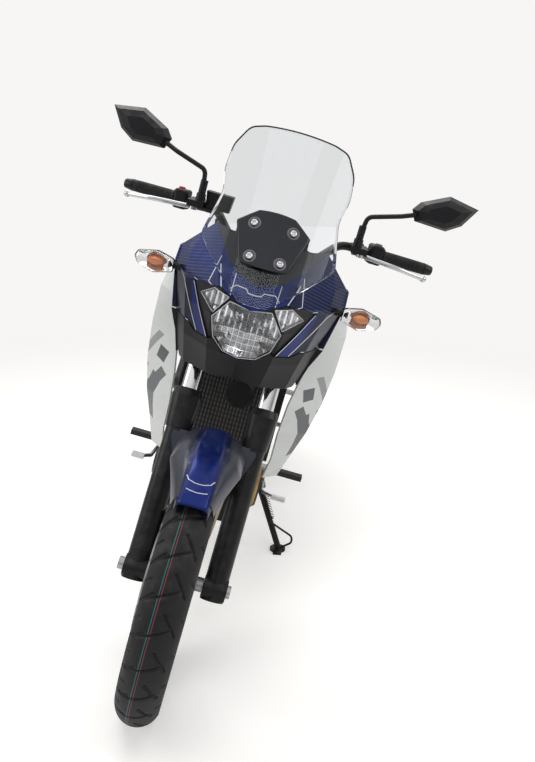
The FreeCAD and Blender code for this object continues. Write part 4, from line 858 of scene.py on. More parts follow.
# Nose mask: its form as a function of height and distance from the middle, and flat outlines carried onto
# it, with its creases kept as edges

NOSE_ROWS = np.array([
    # z, front y, brow half width, brow y, crease half width, crease y, cheek half width, cheek y
    (785, -628, 62, -606, 122, -560, 144, -510),
    (870, -672, 74, -648, 138, -580, 168, -506),
    (950, -704, 84, -668, 158, -566, 194, -486),
    (1008, -716, 82, -672, 174, -542, 210, -468),
    (1052, -664, 96, -610, 176, -506, 209, -436),
    (1130, -598, 98, -550, 142, -470, 168, -410)], float)
MASK_HALF = [(0, 1037), (52, 1047), (86, 1076), (133, 1127), (209, 1046), (213, 1010), (190, 903), (136, 903),
             (113, 890), (80, 892), (146, 998), (76, 1015), (48, 1005), (30, 995), (0, 989)]
INSERT_HALF = [(0, 1125), (130, 1125), (84, 1074), (50, 1045), (0, 1035)]
SURROUND_HALF = [(0, 1000), (48, 1010), (76, 1022), (154, 1004), (86, 880), (62, 858), (0, 850)]
CHIN_HALF = [(0, 867), (38, 869), (66, 896), (80, 890), (113, 888), (136, 901), (190, 901), (142, 800), (44, 804),
             (0, 818)]
HEADLIGHT_HALF = [(0, 989), (47, 992), (79, 945), (66, 899), (38, 874), (0, 870)]
POSITION_LAMP = [(51, 1000), (88, 1007), (120, 981), (79, 955)]


def nose_row(z, column):
    return np.interp(z, NOSE_ROWS[:, 0], NOSE_ROWS[:, column])


def nose_y(x, z):
    """Y of the mask's outer face: straight between its rows in height and its three creases each side."""
    y0, x1, y1, x2, y2, x3, y3 = (nose_row(z, column) for column in range(1, 8))
    x = np.abs(x)
    first = y0 + (y1 - y0) * np.clip(x / x1, 0, 1)
    second = (y2 - y1) * np.clip((x - x1) / (x2 - x1), 0, 1)
    third = (y3 - y2) * np.clip((x - x2) / (x3 - x2), 0, 1)
    return first + second + third


def whole(half):
    """A right half of an outline with its mirrored left half."""
    return half + [(-x, z) for x, z in reversed(half) if x > 0]


def inside(points, outline):
    """Which (x, z) points lie inside an outline, by counting the sides that a level line crosses."""
    a = np.asarray(outline, float)
    b = np.roll(a, -1, 0)
    x, z = points[:, :1], points[:, 1:]
    over = (a[:, 1] > z) != (b[:, 1] > z)
    cross = (b[:, 0] - a[:, 0]) * (z - a[:, 1]) / np.where(b[:, 1] == a[:, 1], 1, b[:, 1] - a[:, 1]) + a[:, 0]
    return (over & (x < cross)).sum(1) % 2 == 1


def crease_lines():
    """The mask's three creases on each side, its middle and its level bends, as (x, z) runs."""
    z = NOSE_ROWS[:, 0]
    runs = [np.column_stack([side * NOSE_ROWS[:, k], z]) for k in (2, 4, 6) for side in (1, -1)]
    runs.append(np.column_stack([0 * z, z]))
    return runs + [np.array([(-240, level), (240, level)]) for level in z]


def spaced(run, step):
    """Points along a run of corners, evenly spaced between each two of them."""
    run = np.asarray(run, float)
    spans = [np.linspace(a, b, max(1, round(float(np.hypot(*(b - a)) / step))), endpoint=False)
             for a, b in zip(run, run[1:])]
    return np.concatenate(spans + [run[-1:]])


def panel(outlines, holes, depth, step=9.0):
    """Triangles over the outlines but not the holes, each point at the mask's y plus a depth."""
    points, edges, count = [], [], 0
    rings = [np.asarray(o + o[:1], float) for o in outlines + holes]
    for run in rings + crease_lines():
        spots = spaced(run, step)
        points.append(spots)
        edges.append(np.column_stack([np.arange(len(spots) - 1), np.arange(1, len(spots))]) + count)
        count += len(spots)
    grid = np.stack(np.meshgrid(np.arange(-216, 217, step), np.arange(788, 1130, step)), -1).reshape(-1, 2)
    points = np.concatenate(points + [grid])
    flat, _, faces, *_ = delaunay_2d_cdt(points.tolist(), np.concatenate(edges).tolist(), [], 0, 1e-3)
    flat = np.array(flat)
    faces = np.array([face for face in faces if len(face) == 3])
    centres = flat[faces].mean(1)
    keep = np.any([inside(centres, o) for o in outlines], 0)
    for hole in holes:
        keep &= ~inside(centres, hole)
    faces = faces[keep]
    x, z = flat[:, 0], flat[:, 1]
    y = nose_y(x, z) + (depth(x, z) if callable(depth) else depth)
    verts = np.stack([x, y, z], -1)
    a, b, c = (verts[faces[:, k]] for k in range(3))
    wrong = np.cross(b - a, c - a)[:, 1] > 0
    faces[wrong] = faces[wrong][:, ::-1]
    return verts, faces


def nose_panel(name, outlines, depth, wall, slot, replaced, material=None, holes=(), degrees=9.0, side_wall=None):
    """A panel with a wall behind it. A side wall is (top, foot, rear y), back from the cheek line."""
    verts, faces = panel(outlines, list(holes), depth)
    if side_wall:
        top, foot, rear = side_wall
        z = np.linspace(foot, top, 14)
        x, y = nose_row(z, 6), nose_row(z, 7)
        for side in (1, -1):
            grid = Grid(np.array([np.stack([side * (x - 1.5 * t), y + depth + (rear - y - depth) * t, z], -1)
                                  for t in (0.0, 0.5, 1.0)]))
            quads = grid.faces()[:, ::-1] if side > 0 else grid.faces()
            faces = np.concatenate([faces, quads[:, [0, 1, 2]] + len(verts), quads[:, [0, 2, 3]] + len(verts)])
            verts = np.concatenate([verts, grid.points.reshape(-1, 3)])
    used = np.unique(faces)
    remap = np.zeros(len(verts), int)
    remap[used] = np.arange(len(used))
    thing = mesh_piece(name, bike(verts[used]), remap[faces], "root", slot, replaced, material=material,
                       outward=False, sharp=degrees)
    solid = thing.modifiers.new("wall", "SOLIDIFY")
    solid.thickness = wall / 1000
    solid.offset = -1.0


def bowl_depth(x, z):
    """Depth of the reflector: a dish over a sill, ridged by upright flutes above and by steps below."""
    reach = np.clip(np.maximum(np.abs(x) / 78, np.abs(z - 932) / 62), 0, 1)
    dish = 10 + 46 * (1 - reach ** 2)
    flutes = 5.0 * np.abs(np.sin(x * np.pi / 13.0)) * np.clip((z - 934) / 8, 0, 1)
    steps = 4.0 * (np.abs((z / 13.0) % 1 - 0.5)) * np.clip((934 - z) / 8, 0, 1)
    sill = -22.0 * np.exp(-((z - 932 - 5 * np.exp(-(x / 7) ** 2)) / 3.2) ** 2) * np.clip((64 - np.abs(x)) / 10, 0, 1)
    return dish + flutes + steps + sill


def lamp_depth(x, z):
    """Depth of a position lamp's reflector: facets like upturned roofs behind its lens."""
    x = np.abs(x)
    return 11 + 7 * np.abs(((x + z * 0.4) / 9.0) % 1 - 0.5) + 7 * np.abs(((z - x * 0.3) / 11.0) % 1 - 0.5)


def bead(outline, depth, radius):
    """A thin round bead along a closed outline on the mask's form."""
    ring = spaced(outline + outline[:1], 4.0)[:-1]
    line = np.stack([ring[:, 0], nose_y(ring[:, 0], ring[:, 1]) + depth, ring[:, 1]], -1)
    along = np.roll(line, -1, 0) - np.roll(line, 1, 0)
    side = np.cross(along, (0, 1, 0))
    side /= np.linalg.norm(side, axis=1, keepdims=True)
    angle = np.linspace(0, 2 * np.pi, 8, endpoint=False)[None, :, None]
    loop = line[:, None] + radius * (side[:, None] * np.cos(angle) + np.array([0, 1.0, 0]) * np.sin(angle))
    return Grid(loop, wrap_rows=True, wrap_columns=True)


def lamp_chrome_painted_light():
    """Chrome of the lamp bowls with painted light: dark painted shade in the flutes above the sill, and dark painted
    shade below it with fine painted highlights along the edges of its steps.
    """
    finish = Finish("lamp_chrome_painted_light")
    x, _, v, _ = finish.where()
    flute, rows = (abs(sine(way * (math.pi / 13.0))) for way in (x, v))
    # Painted shade: the chrome's colour is dark in the flutes above the sill.
    upper_flute_shade = mixed(ramp(flute, 0.1, 0.8), (0.80, 0.81, 0.83), (0.10, 0.105, 0.12))
    # Painted shade and highlights: dark below the sill, with bright lines along the edges of the steps.
    lower_shade_and_glints = mixed((flute < 0.12) | (rows < 0.12), (0.16, 0.165, 0.18), (0.75, 0.76, 0.78))
    cloud = ramp(noise(finish.place, 90.0, 3.0), 0.4, 0.6)
    colour = mixed(ramp(-v, -934.0, -926.0), upper_flute_shade, lower_shade_and_glints)
    finish.set(Base_Color=mixed(cloud * 0.35, colour, (0.6, 0.61, 0.63)), Metallic=1.0,
               Roughness=blended(cloud, 0.10, 0.22))
    return finish.material


def nose():
    lamps = [POSITION_LAMP, [(-x, z) for x, z in reversed(POSITION_LAMP)]]
    lens = whole(HEADLIGHT_HALF)
    nose_panel("nose_mask", [whole(MASK_HALF)], 0.0, 4.0, "blue_paint", "nose_fairing", mask_paint(),
               side_wall=(1044, 905, -404))
    nose_panel("nose_insert", [whole(INSERT_HALF)], 0.4, 4.0, "black_plastic", "nose_trim",
               gloss_black("insert_gloss", (0.010, 0.010, 0.012), 0.25))
    nose_panel("nose_chin", [whole(CHIN_HALF)], -4.0, 4.0, "black_plastic", "nose_trim", side_wall=(899, 803, -432))
    nose_panel("lamp_surround", [whole(SURROUND_HALF)], 6.0, 4.0, "black_plastic", "nose_trim", holes=lamps + [lens])
    nose_panel("headlight_lens", [lens], 3.0, 2.0, "lens", "headlight")
    nose_panel("position_lamp_lenses", lamps, 3.0, 2.0, "lens", "headlight")
    chrome = lamp_chrome_painted_light()
    nose_panel("headlight_bowl", [lens], bowl_depth, 0.8, "chrome", "headlight", chrome, degrees=25.0)
    nose_panel("position_lamp_bowls", lamps, lamp_depth, 0.8, "chrome", "headlight", chrome, degrees=25.0)
    piece("lamp_edges", [bead(lens, 3.2, 1.1), *(bead(lamp_edge, 3.4, 0.8) for lamp_edge in lamps)], "root", "lens",
          material=moulded("lamp_edge", (0.55, 0.56, 0.58), 0.2, 900.0, 0.00002, 0.0))


nose()

# Front fender: a crowned strip with a raised middle band, narrowed to its tip, and the grey flares beside it

FENDER_RADIUS, FENDER_WALL = 350, 4.0


def arch(profile, front, rear, narrow, rows=60):
    """A walled strip round the tyre: (x, radius) points turned from a front to a rear angle and drawn in
    towards the tip, where narrow(distance behind it) gives the share of their width that is left."""
    profile = np.asarray(profile, float)
    profile = np.concatenate([profile, profile[::-1] - [0, FENDER_WALL]])
    angle = np.radians(np.linspace(front, -rear, rows))
    share = narrow(346.0 * (math.sin(math.radians(36.0)) - np.sin(angle)))[:, None]
    beside = np.abs(profile[None, :, 0])
    x = np.sign(profile[None, :, 0]) * np.where(beside <= 30, beside, 30 + (beside - 30) * share)
    r = np.broadcast_to(profile[None, :, 1], x.shape)
    return skin(np.stack([x, -r * np.sin(angle)[:, None], r * np.cos(angle)[:, None]], -1) + FRONT_AXLE)


def fender():
    half = [(0, 12), (8, 11.8), (16, 11.2), (25, 10), (27, 9), (29, 6), (32, 4.6), (42, 0.6), (52, -4), (56, -12),
            (60, -24)]
    line = [(x, FENDER_RADIUS + rise) for x, rise in [(-x, rise) for x, rise in reversed(half[1:])] + half]
    piece("fender_skin", [arch(line, 36.0, 52.0, lambda t: np.clip(0.2 + 0.8 * t / 140, 0.2, 1.0))],
          "steering", "blue_paint", "front_fender", material=fender_paint())
    flare = [(36, 352), (46, 351), (54, 347), (66, 337), (80, 314)]
    blade = arch(flare, 33.0, 18.5, lambda t: np.clip(0.25 + 0.75 * t / 150, 0.25, 1.0))
    piece("fender_flares", both([blade]), "steering", "grey_plastic", sharp=35.0)


fender()

# Toothed rings on both sprockets, cylinder fins, caliper pistons and the stand's spring and loop


def sprocket_radius(teeth):
    return CHAIN_PITCH / (2 * math.sin(math.pi / teeth))


def tooth_ring(name, centre, teeth, inner, body, half=3.0):
    """A flat ring whose outer radius rises to a tip between each two chain rollers."""
    angle = np.linspace(0, 2 * np.pi, teeth * 8, endpoint=False)
    wave = np.abs(((angle * teeth / (2 * np.pi)) + 0.5) % 1 - 0.5)
    outer = np.interp(wave, [0, 0.1, 0.32, 0.5], [4.0, 4.0, -5.1, -5.1]) + sprocket_radius(teeth)
    ring = np.stack([0 * angle, np.cos(angle), np.sin(angle)], -1)
    rows = [ring * inner + (-half, 0, 0), ring * outer[:, None] + (-half, 0, 0), ring * outer[:, None] + (half, 0, 0),
            ring * inner + (half, 0, 0)]
    piece(name, [Grid(np.array(rows) + (CHAIN_LINE, *centre), True, True)], body, "steel", smooth=False)


def drive_details():
    tooth_ring("rear_sprocket_teeth", REAR_AXLE[1:], REAR_TEETH, 60.0, "rear_wheel")
    tooth_ring("front_sprocket_teeth", FRONT_SPROCKET, FRONT_TEETH, 12.0, "root")
    lean, fins = math.radians(18.0), []
    for rise in range(18, 104, 12):
        x, y, z = np.moveaxis(soft_box(np.zeros(3), (115.0, 77.0, 2.0), 0.16).points + (0, 0, rise), -1, 0)
        leaned = [x, y * math.cos(lean) - z * math.sin(lean), y * math.sin(lean) + z * math.cos(lean)]
        fins.append(ring_grid(np.stack(leaned, -1) + (0, -75, 440)))
    piece("cylinder_fins", fins, "root", "black_metal", sharp=35.0)
    profile = [(0, 0), (0, 17), (7, 17), (9, 15.5), (9, 9), (7.5, 8), (7.5, 0)]
    pistons = [turned(fork([-90, 64, up]), (-1, 0, 0), profile, 30) for up in PISTONS_UP]
    piece("caliper_pistons", pistons, "steering", "black_metal", sharp=35.0)


PISTONS_UP = (88.0, 128.0)
SOLE_X, SOLE_Y, SOLE_THICKNESS = 283.0, 52.0, 8.0


def stand_details():
    """The return spring between its two lugs, and the loop that a foot pushes the stand out with."""
    pivot = (np.array(hinges["side_stand_hinge"]["pos_m"]) - offset) @ turn * 1000
    ground = -(turn[2] @ (SOLE_X, SOLE_Y, 0.0) + offset[2] * 1000) / turn[2, 2]
    foot = np.array([SOLE_X, SOLE_Y, ground + SOLE_THICKNESS])
    leg = foot - pivot
    high, low = pivot + leg * 0.1, pivot + leg * 0.5
    top, end = high + (22, -16, 0), low + (16, -10, 0)
    share = np.linspace(0, 1, 240)[:, None]
    along = end - top
    side = unit(np.cross(along, (0, 1, 0)))
    over = np.cross(side, unit(along))
    angle = share * 2 * np.pi * 15
    coil = top + along * share + 5.0 * (side * np.cos(angle) + over * np.sin(angle))
    wires = [tube(coil, 1.1, 6, (0.2, 1, 0.1)), tube([high, top], 2.6, 10), tube([low, end], 2.6, 10)]
    loop_top = pivot + leg * 0.6
    corners = [loop_top, (foot[0] + 34, loop_top[1], loop_top[2] - 30), foot + (38, 0, 30), foot + (8, 0, 4)]
    wires.append(tube(rounded(corners, 9, 60), 3.5, 12, (0, 1, 0)))
    piece("stand_spring_and_loop", wires, "side_stand", "black_metal")


drive_details()
stand_details()

# Signals: a clear leaf-shaped lens over a chrome dish with its amber bulb, a black shell behind and a ribbed
# boot. Each section is (depth behind the front, share of the leaf's outline) from its first ring to its last.

LEAF = np.array([(0, -16), (0, 16), (46, 27), (92, 16), (98, 0), (88, -16), (46, -29)], float)
FRONT_SIGNAL = dict(
    place=(206, -500, 1000), root=188, bulb=16,
    lens=[(0.4, 0), (0.4, .5), (0.6, .76), (3.4, .86), (8, .93), (13.4, .99),
          (13.4, .94), (8.6, .885), (4.6, .80), (2.8, .70), (2.4, .45), (2.4, 0)],
    dish=[(13.6, .92), (19, .76), (25, .44), (27, 0), (28, 0), (26, .46), (20, .79), (14.6, .945)],
    shell=[(13.4, .945), (13.4, .99), (20, .965), (34, .89), (43, .56), (47, .40), (47.6, .32), (47.6, 0),
           (44, 0), (42, .38), (33, .78), (19, .90), (13.4, .945)])
REAR_SIGNAL = dict(
    place=(112, 872, 828), root=62, bulb=24,
    lens=[(47.6, 0), (47.4, .24), (45.6, .42), (41, .60), (34, .86), (25, .955),
          (25, .91), (33, .82), (40, .55), (44, .38), (45.4, .22), (45.6, 0)],
    dish=[(24, .90), (19, .70), (15, .40), (14, 0), (13, 0), (14, .43), (18, .74), (23, .93)],
    shell=[(24.6, .90), (25, .96), (19, .985), (12, .995), (4, .90), (0.6, .80), (0.4, .5), (0.4, 0),
           (2.4, 0), (2.4, .5), (4.0, .74), (11, .92), (24.6, .90)])


def leaf_rows(place, rows):
    """The leaf outline drawn in towards its middle, one closed ring for each row of a section."""
    outline = rounded(LEAF, 4, 48, closed=True)
    rings = []
    for depth, share in rows:
        x, z = ((outline - (44, 0)) * share + (44, 0)).T
        rings.append(np.stack([place[0] + x, np.full(48, place[1] + depth - 24), place[2] + z], -1))
    return ring_grid(rings)


def signals():
    made = {"lens": [], "dish": [], "shell": [], "bulb": [], "boot": []}
    for signal in (FRONT_SIGNAL, REAR_SIGNAL):
        x, y, z = signal["place"]
        for part in ("lens", "dish", "shell"):
            made[part].append(leaf_rows(signal["place"], signal[part]))
        made["bulb"].append(soft_box(np.array([x + 47.0, y + signal["bulb"] - 24, z]), (19, 6, 10), 1.0))
        root = signal["root"]
        spots = np.linspace(root, x + 16, 40)
        ribs = 8.1 + 0.8 * np.sign(np.sin((spots - root) * 2 * np.pi / 6.0))
        made["boot"].append(turned((0, y, z), (1, 0, 0), [(root, 0), *zip(spots, ribs), (x + 16, 0)], 20))
    amber = clear("amber_bulb", (0.85, 0.24, 0.02), 0.12, 1.5, 0.35)
    for name, part, slot, material, sharp in (("signal_lenses", "lens", "lens", None, 0.0),
                                              ("signal_dishes", "dish", "chrome", None, 0.0),
                                              ("signal_shells", "shell", "black_plastic", None, 35.0),
                                              ("signal_bulbs", "bulb", "lens", amber, 0.0),
                                              ("signal_boots", "boot", "rubber", None, 35.0)):
        piece(name, both(made[part]), "root", slot, "turn_signals", material=material, sharp=sharp)


signals()

# Handlebar: grips, bar ends, switches and mirror glasses


def bar_axes(side):
    """Directions out along the bar, to the rear and up, square to each other."""
    out = unit((side * (BAR_END - BAR_BEND), BAR_PULL, -BAR_DROP))
    rear = unit(np.cross((0, 0, 1), out)) * side
    return out, rear, np.cross(out, rear) * side


def on_bar(x, side, local):
    """Points given as (out along the bar, to the rear, up) from the spot x of the bar, to upright millimetres."""
    return bar_point(x, side) + np.asarray(local, float) @ np.array(bar_axes(side))


def grips():
    """Sleeves with two crossing families of helical ribs, smooth collars and a flange; turned end weights."""
    length = float(np.linalg.norm(bar_point(BAR_END) - bar_point(GRIP_START)))
    along = np.concatenate([[0, 0, 5, 5.2], np.linspace(8, length - 0.4, 150), [length - 0.4]])[:, None]
    angle = np.linspace(0, 2 * np.pi, 108, endpoint=False)[None, :]
    twist = along * 2 * np.pi / 46.0
    ribs = np.maximum(np.cos(9 * (angle + twist)), np.cos(9 * (angle - twist)))
    on_sleeve = np.clip((along - 12) / 2, 0, 1) * np.clip((length - 10 - along) / 2, 0, 1)
    radius = 14.9 + 1.0 * np.clip((ribs - 0.55) / 0.3, 0, 1) * on_sleeve + 0.7 * (1 - on_sleeve)
    radius[:1] = GRIP_RADIUS - 4
    radius[1:3] = GRIP_RADIUS + 3.9
    radius[3] = GRIP_RADIUS - 0.2
    radius[-1] = 12
    local = np.stack([np.broadcast_to(along, radius.shape), radius * np.cos(angle), radius * np.sin(angle)], -1)
    sleeves = [ring_grid(on_bar(GRIP_START, side, local)) for side in (1, -1)]
    piece("grip_sleeves", sleeves, "steering", "rubber", "hand_grips")
    profile = [(0.4, 0), (0.4, 15.8), (3.0, 16.0), (3.6, 15.2), (5.0, 15.2), (5.6, 15.6), (24, 12.6), (26, 11.4),
               (26, 6), (22, 5), (22, 0)]
    ends = [turned(bar_point(BAR_END, side), bar_axes(side)[0], profile, 36) for side in (1, -1)]
    piece("bar_end_weights", ends, "steering", "black_metal", "hand_grips", sharp=35.0)


def switches():
    def button(side, spot, half, sharp):
        return soft_box(on_bar(GRIP_START, side, spot), half, sharp, bar_axes(side))

    piece("kill_switch", [button(-1, (-16, -8, 26.5), (8, 6, 4.6), 0.35)], "steering", "black_plastic",
          material=moulded("red_switch", (0.45, 0.012, 0.012), 0.32, 1200.0, 0.00004, 0.02))
    piece("switch_buttons", [button(-1, (-20, 19.5, -6), (7, 3.4, 5), 0.4),
                             button(1, (-18, 19.5, 8), (9, 3.6, 4.2), 0.4),
                             button(1, (-20, 19.5, -9), (5.5, 4, 5.5), 0.8),
                             button(1, (-16, -2, 26.3), (9, 6, 3.4), 0.35)], "steering", "black_plastic",
          material=moulded("switch_marks", (0.16, 0.165, 0.17), 0.42, 1200.0, 0.00004, 0.02))


MIRROR_OUTLINE = np.array([(108, 107), (124, 129), (192, 162), (272, 149), (242, 99), (206, 76), (122, 80)], float)


def mirror_glasses():
    """The glass that faces the rider, inside the rim of each housing: the housing's outline drawn in."""
    beside = bar_point(218.0)
    foot = np.array([208.0, beside[1] - 88.0, beside[2] + 34.0])
    outline = rounded(MIRROR_OUTLINE, 5, 60, closed=True)
    mid = MIRROR_OUTLINE.mean(0)
    rings = []
    for share, proud in ((0, 0.8), (0.90, 0.8), (0.93, 0.2), (0.93, -1.0), (0, -1.0)):
        spot = mid + (outline - mid) * share
        behind = 36 + proud + (spot[:, 0] - mid[0]) * 0.16
        rings.append(foot + np.stack([spot[:, 0], behind, spot[:, 1]], -1))
    piece("mirror_glass", both([ring_grid(rings)]), "steering", "chrome",
          material=metal("mirror_glass", (0.86, 0.87, 0.88), 0.07))


grips()
switches()
mirror_glasses()

# Fuel tank: the CAD tank's sections with rounded shoulders, and the raised seat of its filler lid

TANK_ROWS = (
    # y, bottom z, lower half width, middle z, middle half width, shoulder z, shoulder half width, top z
    (-300, 868, 96, 905, 130, 960, 96, 975),
    (-200, 862, 130, 915, 176, 985, 112, 1003),
    (-60, 800, 138, 900, 172, 972, 106, 994),
    (40, 800, 120, 860, 132, 920, 84, 938),
    (96, 800, 96, 832, 104, 866, 70, 880),
)
TANK_SECTIONS, TANK_POINTS = 45, 48
CAP_Y, CAP_SEAT_Z, PAD_RADIUS, PAD_FOOT_Z = -150.0, 1006.0, 56.0, 960.0


def tank():
    """Half sections rounded at their corners, run through the rows and closed by a flat end at each row's plane."""
    sections = []
    for y, z0, w0, z1, w1, z2, w2, z3 in TANK_ROWS:
        corners = [(0, z0), (w0, z0), (w1, z1), (w2, z2), (w2 * 0.6, z3), (0, z3)]
        half = rounded(corners, 22, TANK_POINTS)
        sections.append(np.stack([half[:, 0], np.full(TANK_POINTS, y), half[:, 1]], -1).ravel())
    run = np.array([row[0] for row in TANK_ROWS], float)
    spots = np.linspace(run[0], run[-1], TANK_SECTIONS)
    rows = np.stack([np.interp(spots, run, column) for column in np.array(sections).T], -1)
    rows = rows.reshape(TANK_SECTIONS, TANK_POINTS, 3)
    soft = rows.copy()
    soft[1:-1] = 0.25 * rows[:-2] + 0.5 * rows[1:-1] + 0.25 * rows[2:]
    loop = np.concatenate([soft, soft[:, -2:0:-1] * [-1, 1, 1]], axis=1)
    ends = [np.repeat(end.mean(1, keepdims=True), loop.shape[1], 1) for end in (loop[:1], loop[-1:])]
    height = CAP_SEAT_Z - PAD_FOOT_Z
    pad = turned((0, CAP_Y, PAD_FOOT_Z), (0, 0, 1), [(0, 0), (0, PAD_RADIUS), (height - 2, PAD_RADIUS),
                                                     (height - 0.2, PAD_RADIUS - 1.6), (height - 0.2, 0)], 48)
    piece("tank_skin", [ring_grid(np.concatenate([ends[0], loop, ends[1]])), pad], "root", "white_paint", "fuel_tank",
          sharp=35.0)


tank()

# Drive chain: two plates, a roller and a pin for each link, along the line round both sprockets


def chain_line(along):
    """Points on the line round both sprockets, at distances along it, and the line's whole length."""
    first, second = np.array(FRONT_SPROCKET), REAR_AXLE[1:]
    small, large = sprocket_radius(FRONT_TEETH), sprocket_radius(REAR_TEETH)
    run = second - first
    gap = float(np.hypot(*run))
    base = math.atan2(run[1], run[0])
    spread = math.acos((small - large) / gap)
    straight = math.sqrt(gap ** 2 - (large - small) ** 2)
    far, near = 2 * spread * large, 2 * (math.pi - spread) * small
    total = 2 * straight + far + near
    t = np.asarray(along, float) % total
    legs = [t <= straight, t <= straight + far, t <= 2 * straight + far]
    angle = np.select(legs, [base + spread, base + spread - (t - straight) / large, base - spread],
                      base - spread - (t - 2 * straight - far) / small)
    slide = np.select(legs, [t, 0 * t, t - straight - far], 0 * t)
    middle_of = np.where((legs[0] | ~legs[2])[..., None], first, second)
    reach = np.select(legs, [small, large, large], small)
    out = np.stack([np.cos(angle), np.sin(angle)], -1)
    on = np.stack([np.sin(angle), -np.cos(angle)], -1)
    return middle_of + out * reach[..., None] + on * slide[..., None], total


def chain():
    total = chain_line(np.zeros(1))[1]
    count = round(total / CHAIN_PITCH)
    pins = chain_line(np.arange(count) * total / count)[0]
    onward = np.roll(pins, -1, 0) - pins
    long_way = onward / np.linalg.norm(onward, axis=1, keepdims=True)
    square_way = np.stack([-long_way[:, 1], long_way[:, 0]], -1)
    angle = np.linspace(0, 2 * np.pi, 16, endpoint=False)
    side = np.where(np.cos(angle) > 0, 1.0, -1.0)
    half = 7.3
    waist = 1 - 0.22 * (np.abs(np.cos(angle)) < 0.45)
    local = np.stack([side * CHAIN_PITCH / 2 + half * np.cos(angle), half * np.sin(angle) * waist], -1)
    roller = [(-8.5, 0), (-8.5, 2.6), (-4.7, 2.6), (-4.7, 5.0), (4.7, 5.0), (4.7, 2.6), (8.5, 2.6), (8.5, 0)]
    plates, rollers = [], []
    for number in range(count):
        inner, outer = ((6.7, 8.4) if number % 2 else (4.7, 6.4))
        mid = pins[number] + onward[number] / 2
        ring = mid + local[:, :1] * long_way[number] + local[:, 1:] * square_way[number]
        for way in (1, -1):
            plates.append(ring_grid([np.column_stack([np.full(16, CHAIN_LINE + way * x), mid + (ring - mid) * share])
                                     for x, share in ((inner, 0), (inner, 1), (outer, 1), (outer, 0))]))
        rollers.append(turned((CHAIN_LINE, *pins[number]), (1, 0, 0), roller, 12))
    piece("chain_plates", plates, "root", "steel", "drive_chain", smooth=False)
    piece("chain_rollers", rollers, "root", "steel", "drive_chain", sharp=35.0)


chain()

# Bolts and nuts


def bolts():
    covers, steering, wheel, rear = [], [], [], []
    for centre, side, ring in (((137, -70, 322), 1, 70.0), ((-155, -60, 332), -1, 74.0)):
        for spot in on_circle(centre, ring, 7, 0.4):
            covers.append(turned(spot, (side, 0, 0), [(-24, 0), (-24, 7.2), (0, 6.6), (0, 0)], 16))
            covers += hex_bolt(spot, (side, 0, 0), 4.8, 4.2)
    for spot in on_circle(FRONT_AXLE + (-62.2, 0, 0), 56, 5, 0.5):
        wheel += hex_bolt(spot, (-1, 0, 0), 4.4, 3.6)
    for spot in on_circle(REAR_AXLE + (84.0, 0, 0), 57, 5, 0.5):
        rear += hex_nut(spot, (1, 0, 0), 6.0, 4.0, 3.2)
    for spot in on_circle(REAR_AXLE + (-78.2, 0, 0), 48, 5, 0.5):
        rear += hex_bolt(spot, (-1, 0, 0), 4.4, 3.6)
    leg_way = fork([0, 0, 1]) - fork([0, 0, 0])
    for side in (1, -1):
        top = fork([side * 95, 0, 777.6])
        steering.append(turned(top, leg_way, [(0, 0), (0, 19), (3, 19), (4, 17.5), (4, 12)], 30))
        steering.append(turned(top, leg_way, [(4, 12), (9, 11.4), (10, 9.5), (10, 0)], 6))
        for up in (562, 580):
            steering += hex_bolt(fork([side * 117, -29, up]), (side * 0.4, -0.9, 0), 4.4, 4.0)
    steering += hex_nut(fork([0, FORK_OFFSET, 776]), leg_way, 15, 9, 9)
    for up in PISTONS_UP:
        steering.append(turned(fork([-91.6, 64, up]), (-1, 0, 0), [(0, 16.4), (0.6, 16.4), (1.0, 14), (0.8, 0)], 28))
    piece("cover_rim_bolts", covers, "root", "black_metal", smooth=False)
    piece("fork_bolts", steering, "steering", "black_metal", sharp=35.0)
    piece("front_disc_bolts", wheel, "front_wheel", "steel", smooth=False)
    piece("rear_wheel_bolts", rear, "rear_wheel", "steel", smooth=False)


bolts()

# Seat: its solid as a quilted pad, blown up a little by a cloth simulation, with sewn seams in its finish

CLOTH_FRAMES, CLOTH_REACH = 20, 0.008


def seat_cover_finish():
    """Vinyl with a fine grain, a stitched seam round the top and one across, worn smoother and lighter in cloudy
    patches.
    """
    finish = Finish("seat_vinyl")
    _, y, _, u = finish.where()
    around = [(104, 56), (190, 90), (330, 106), (420, 92), (470, 90), (700, 78), (764, 58)]
    over = [(452, 0), (446, 92)]
    groove = finish.lines(y, u, [around, over], 1.8)
    stitch = finish.lines(y, u, [[(a, b - 7) for a, b in around], [(a - 7, b) for a, b in over]], 0.9)
    dashes = sine((y + u) * (2 * math.pi / 5.0)) > -0.2
    top = ramp(parts(source(finish.tree, "NewGeometry", "Normal"))[2], 0.35, 0.5)
    groove = groove * top
    stitch = stitch * dashes * top
    height, cloud = finish.grain(420.0).values()
    worn = ramp(cloud, 0.35, 0.7)
    colour = mixed(stitch, mixed(worn, (0.011, 0.011, 0.012), (0.019, 0.019, 0.021)), (0.10, 0.10, 0.105))
    finish.set(Base_Color=finish.dusty(colour, 0.12), Roughness=blended(worn, 0.56, 0.42))
    return finish.bump(height * 0.12 - (groove - stitch * 0.6), 0.0016, 0.7)


def settled(thing, modifiers_done):
    """Replaces a thing's mesh by what its modifiers make of it, and takes the modifiers away."""
    made = bpy.data.meshes.new_from_object(thing.evaluated_get(bpy.context.evaluated_depsgraph_get()))
    thing.modifiers.clear()
    thing.data = made
    made.name = modifiers_done
    return made


def coordinates(mesh):
    co = np.empty(len(mesh.vertices) * 3, np.float32)
    mesh.vertices.foreach_get("co", co)
    return co.reshape(-1, 3).astype(float)


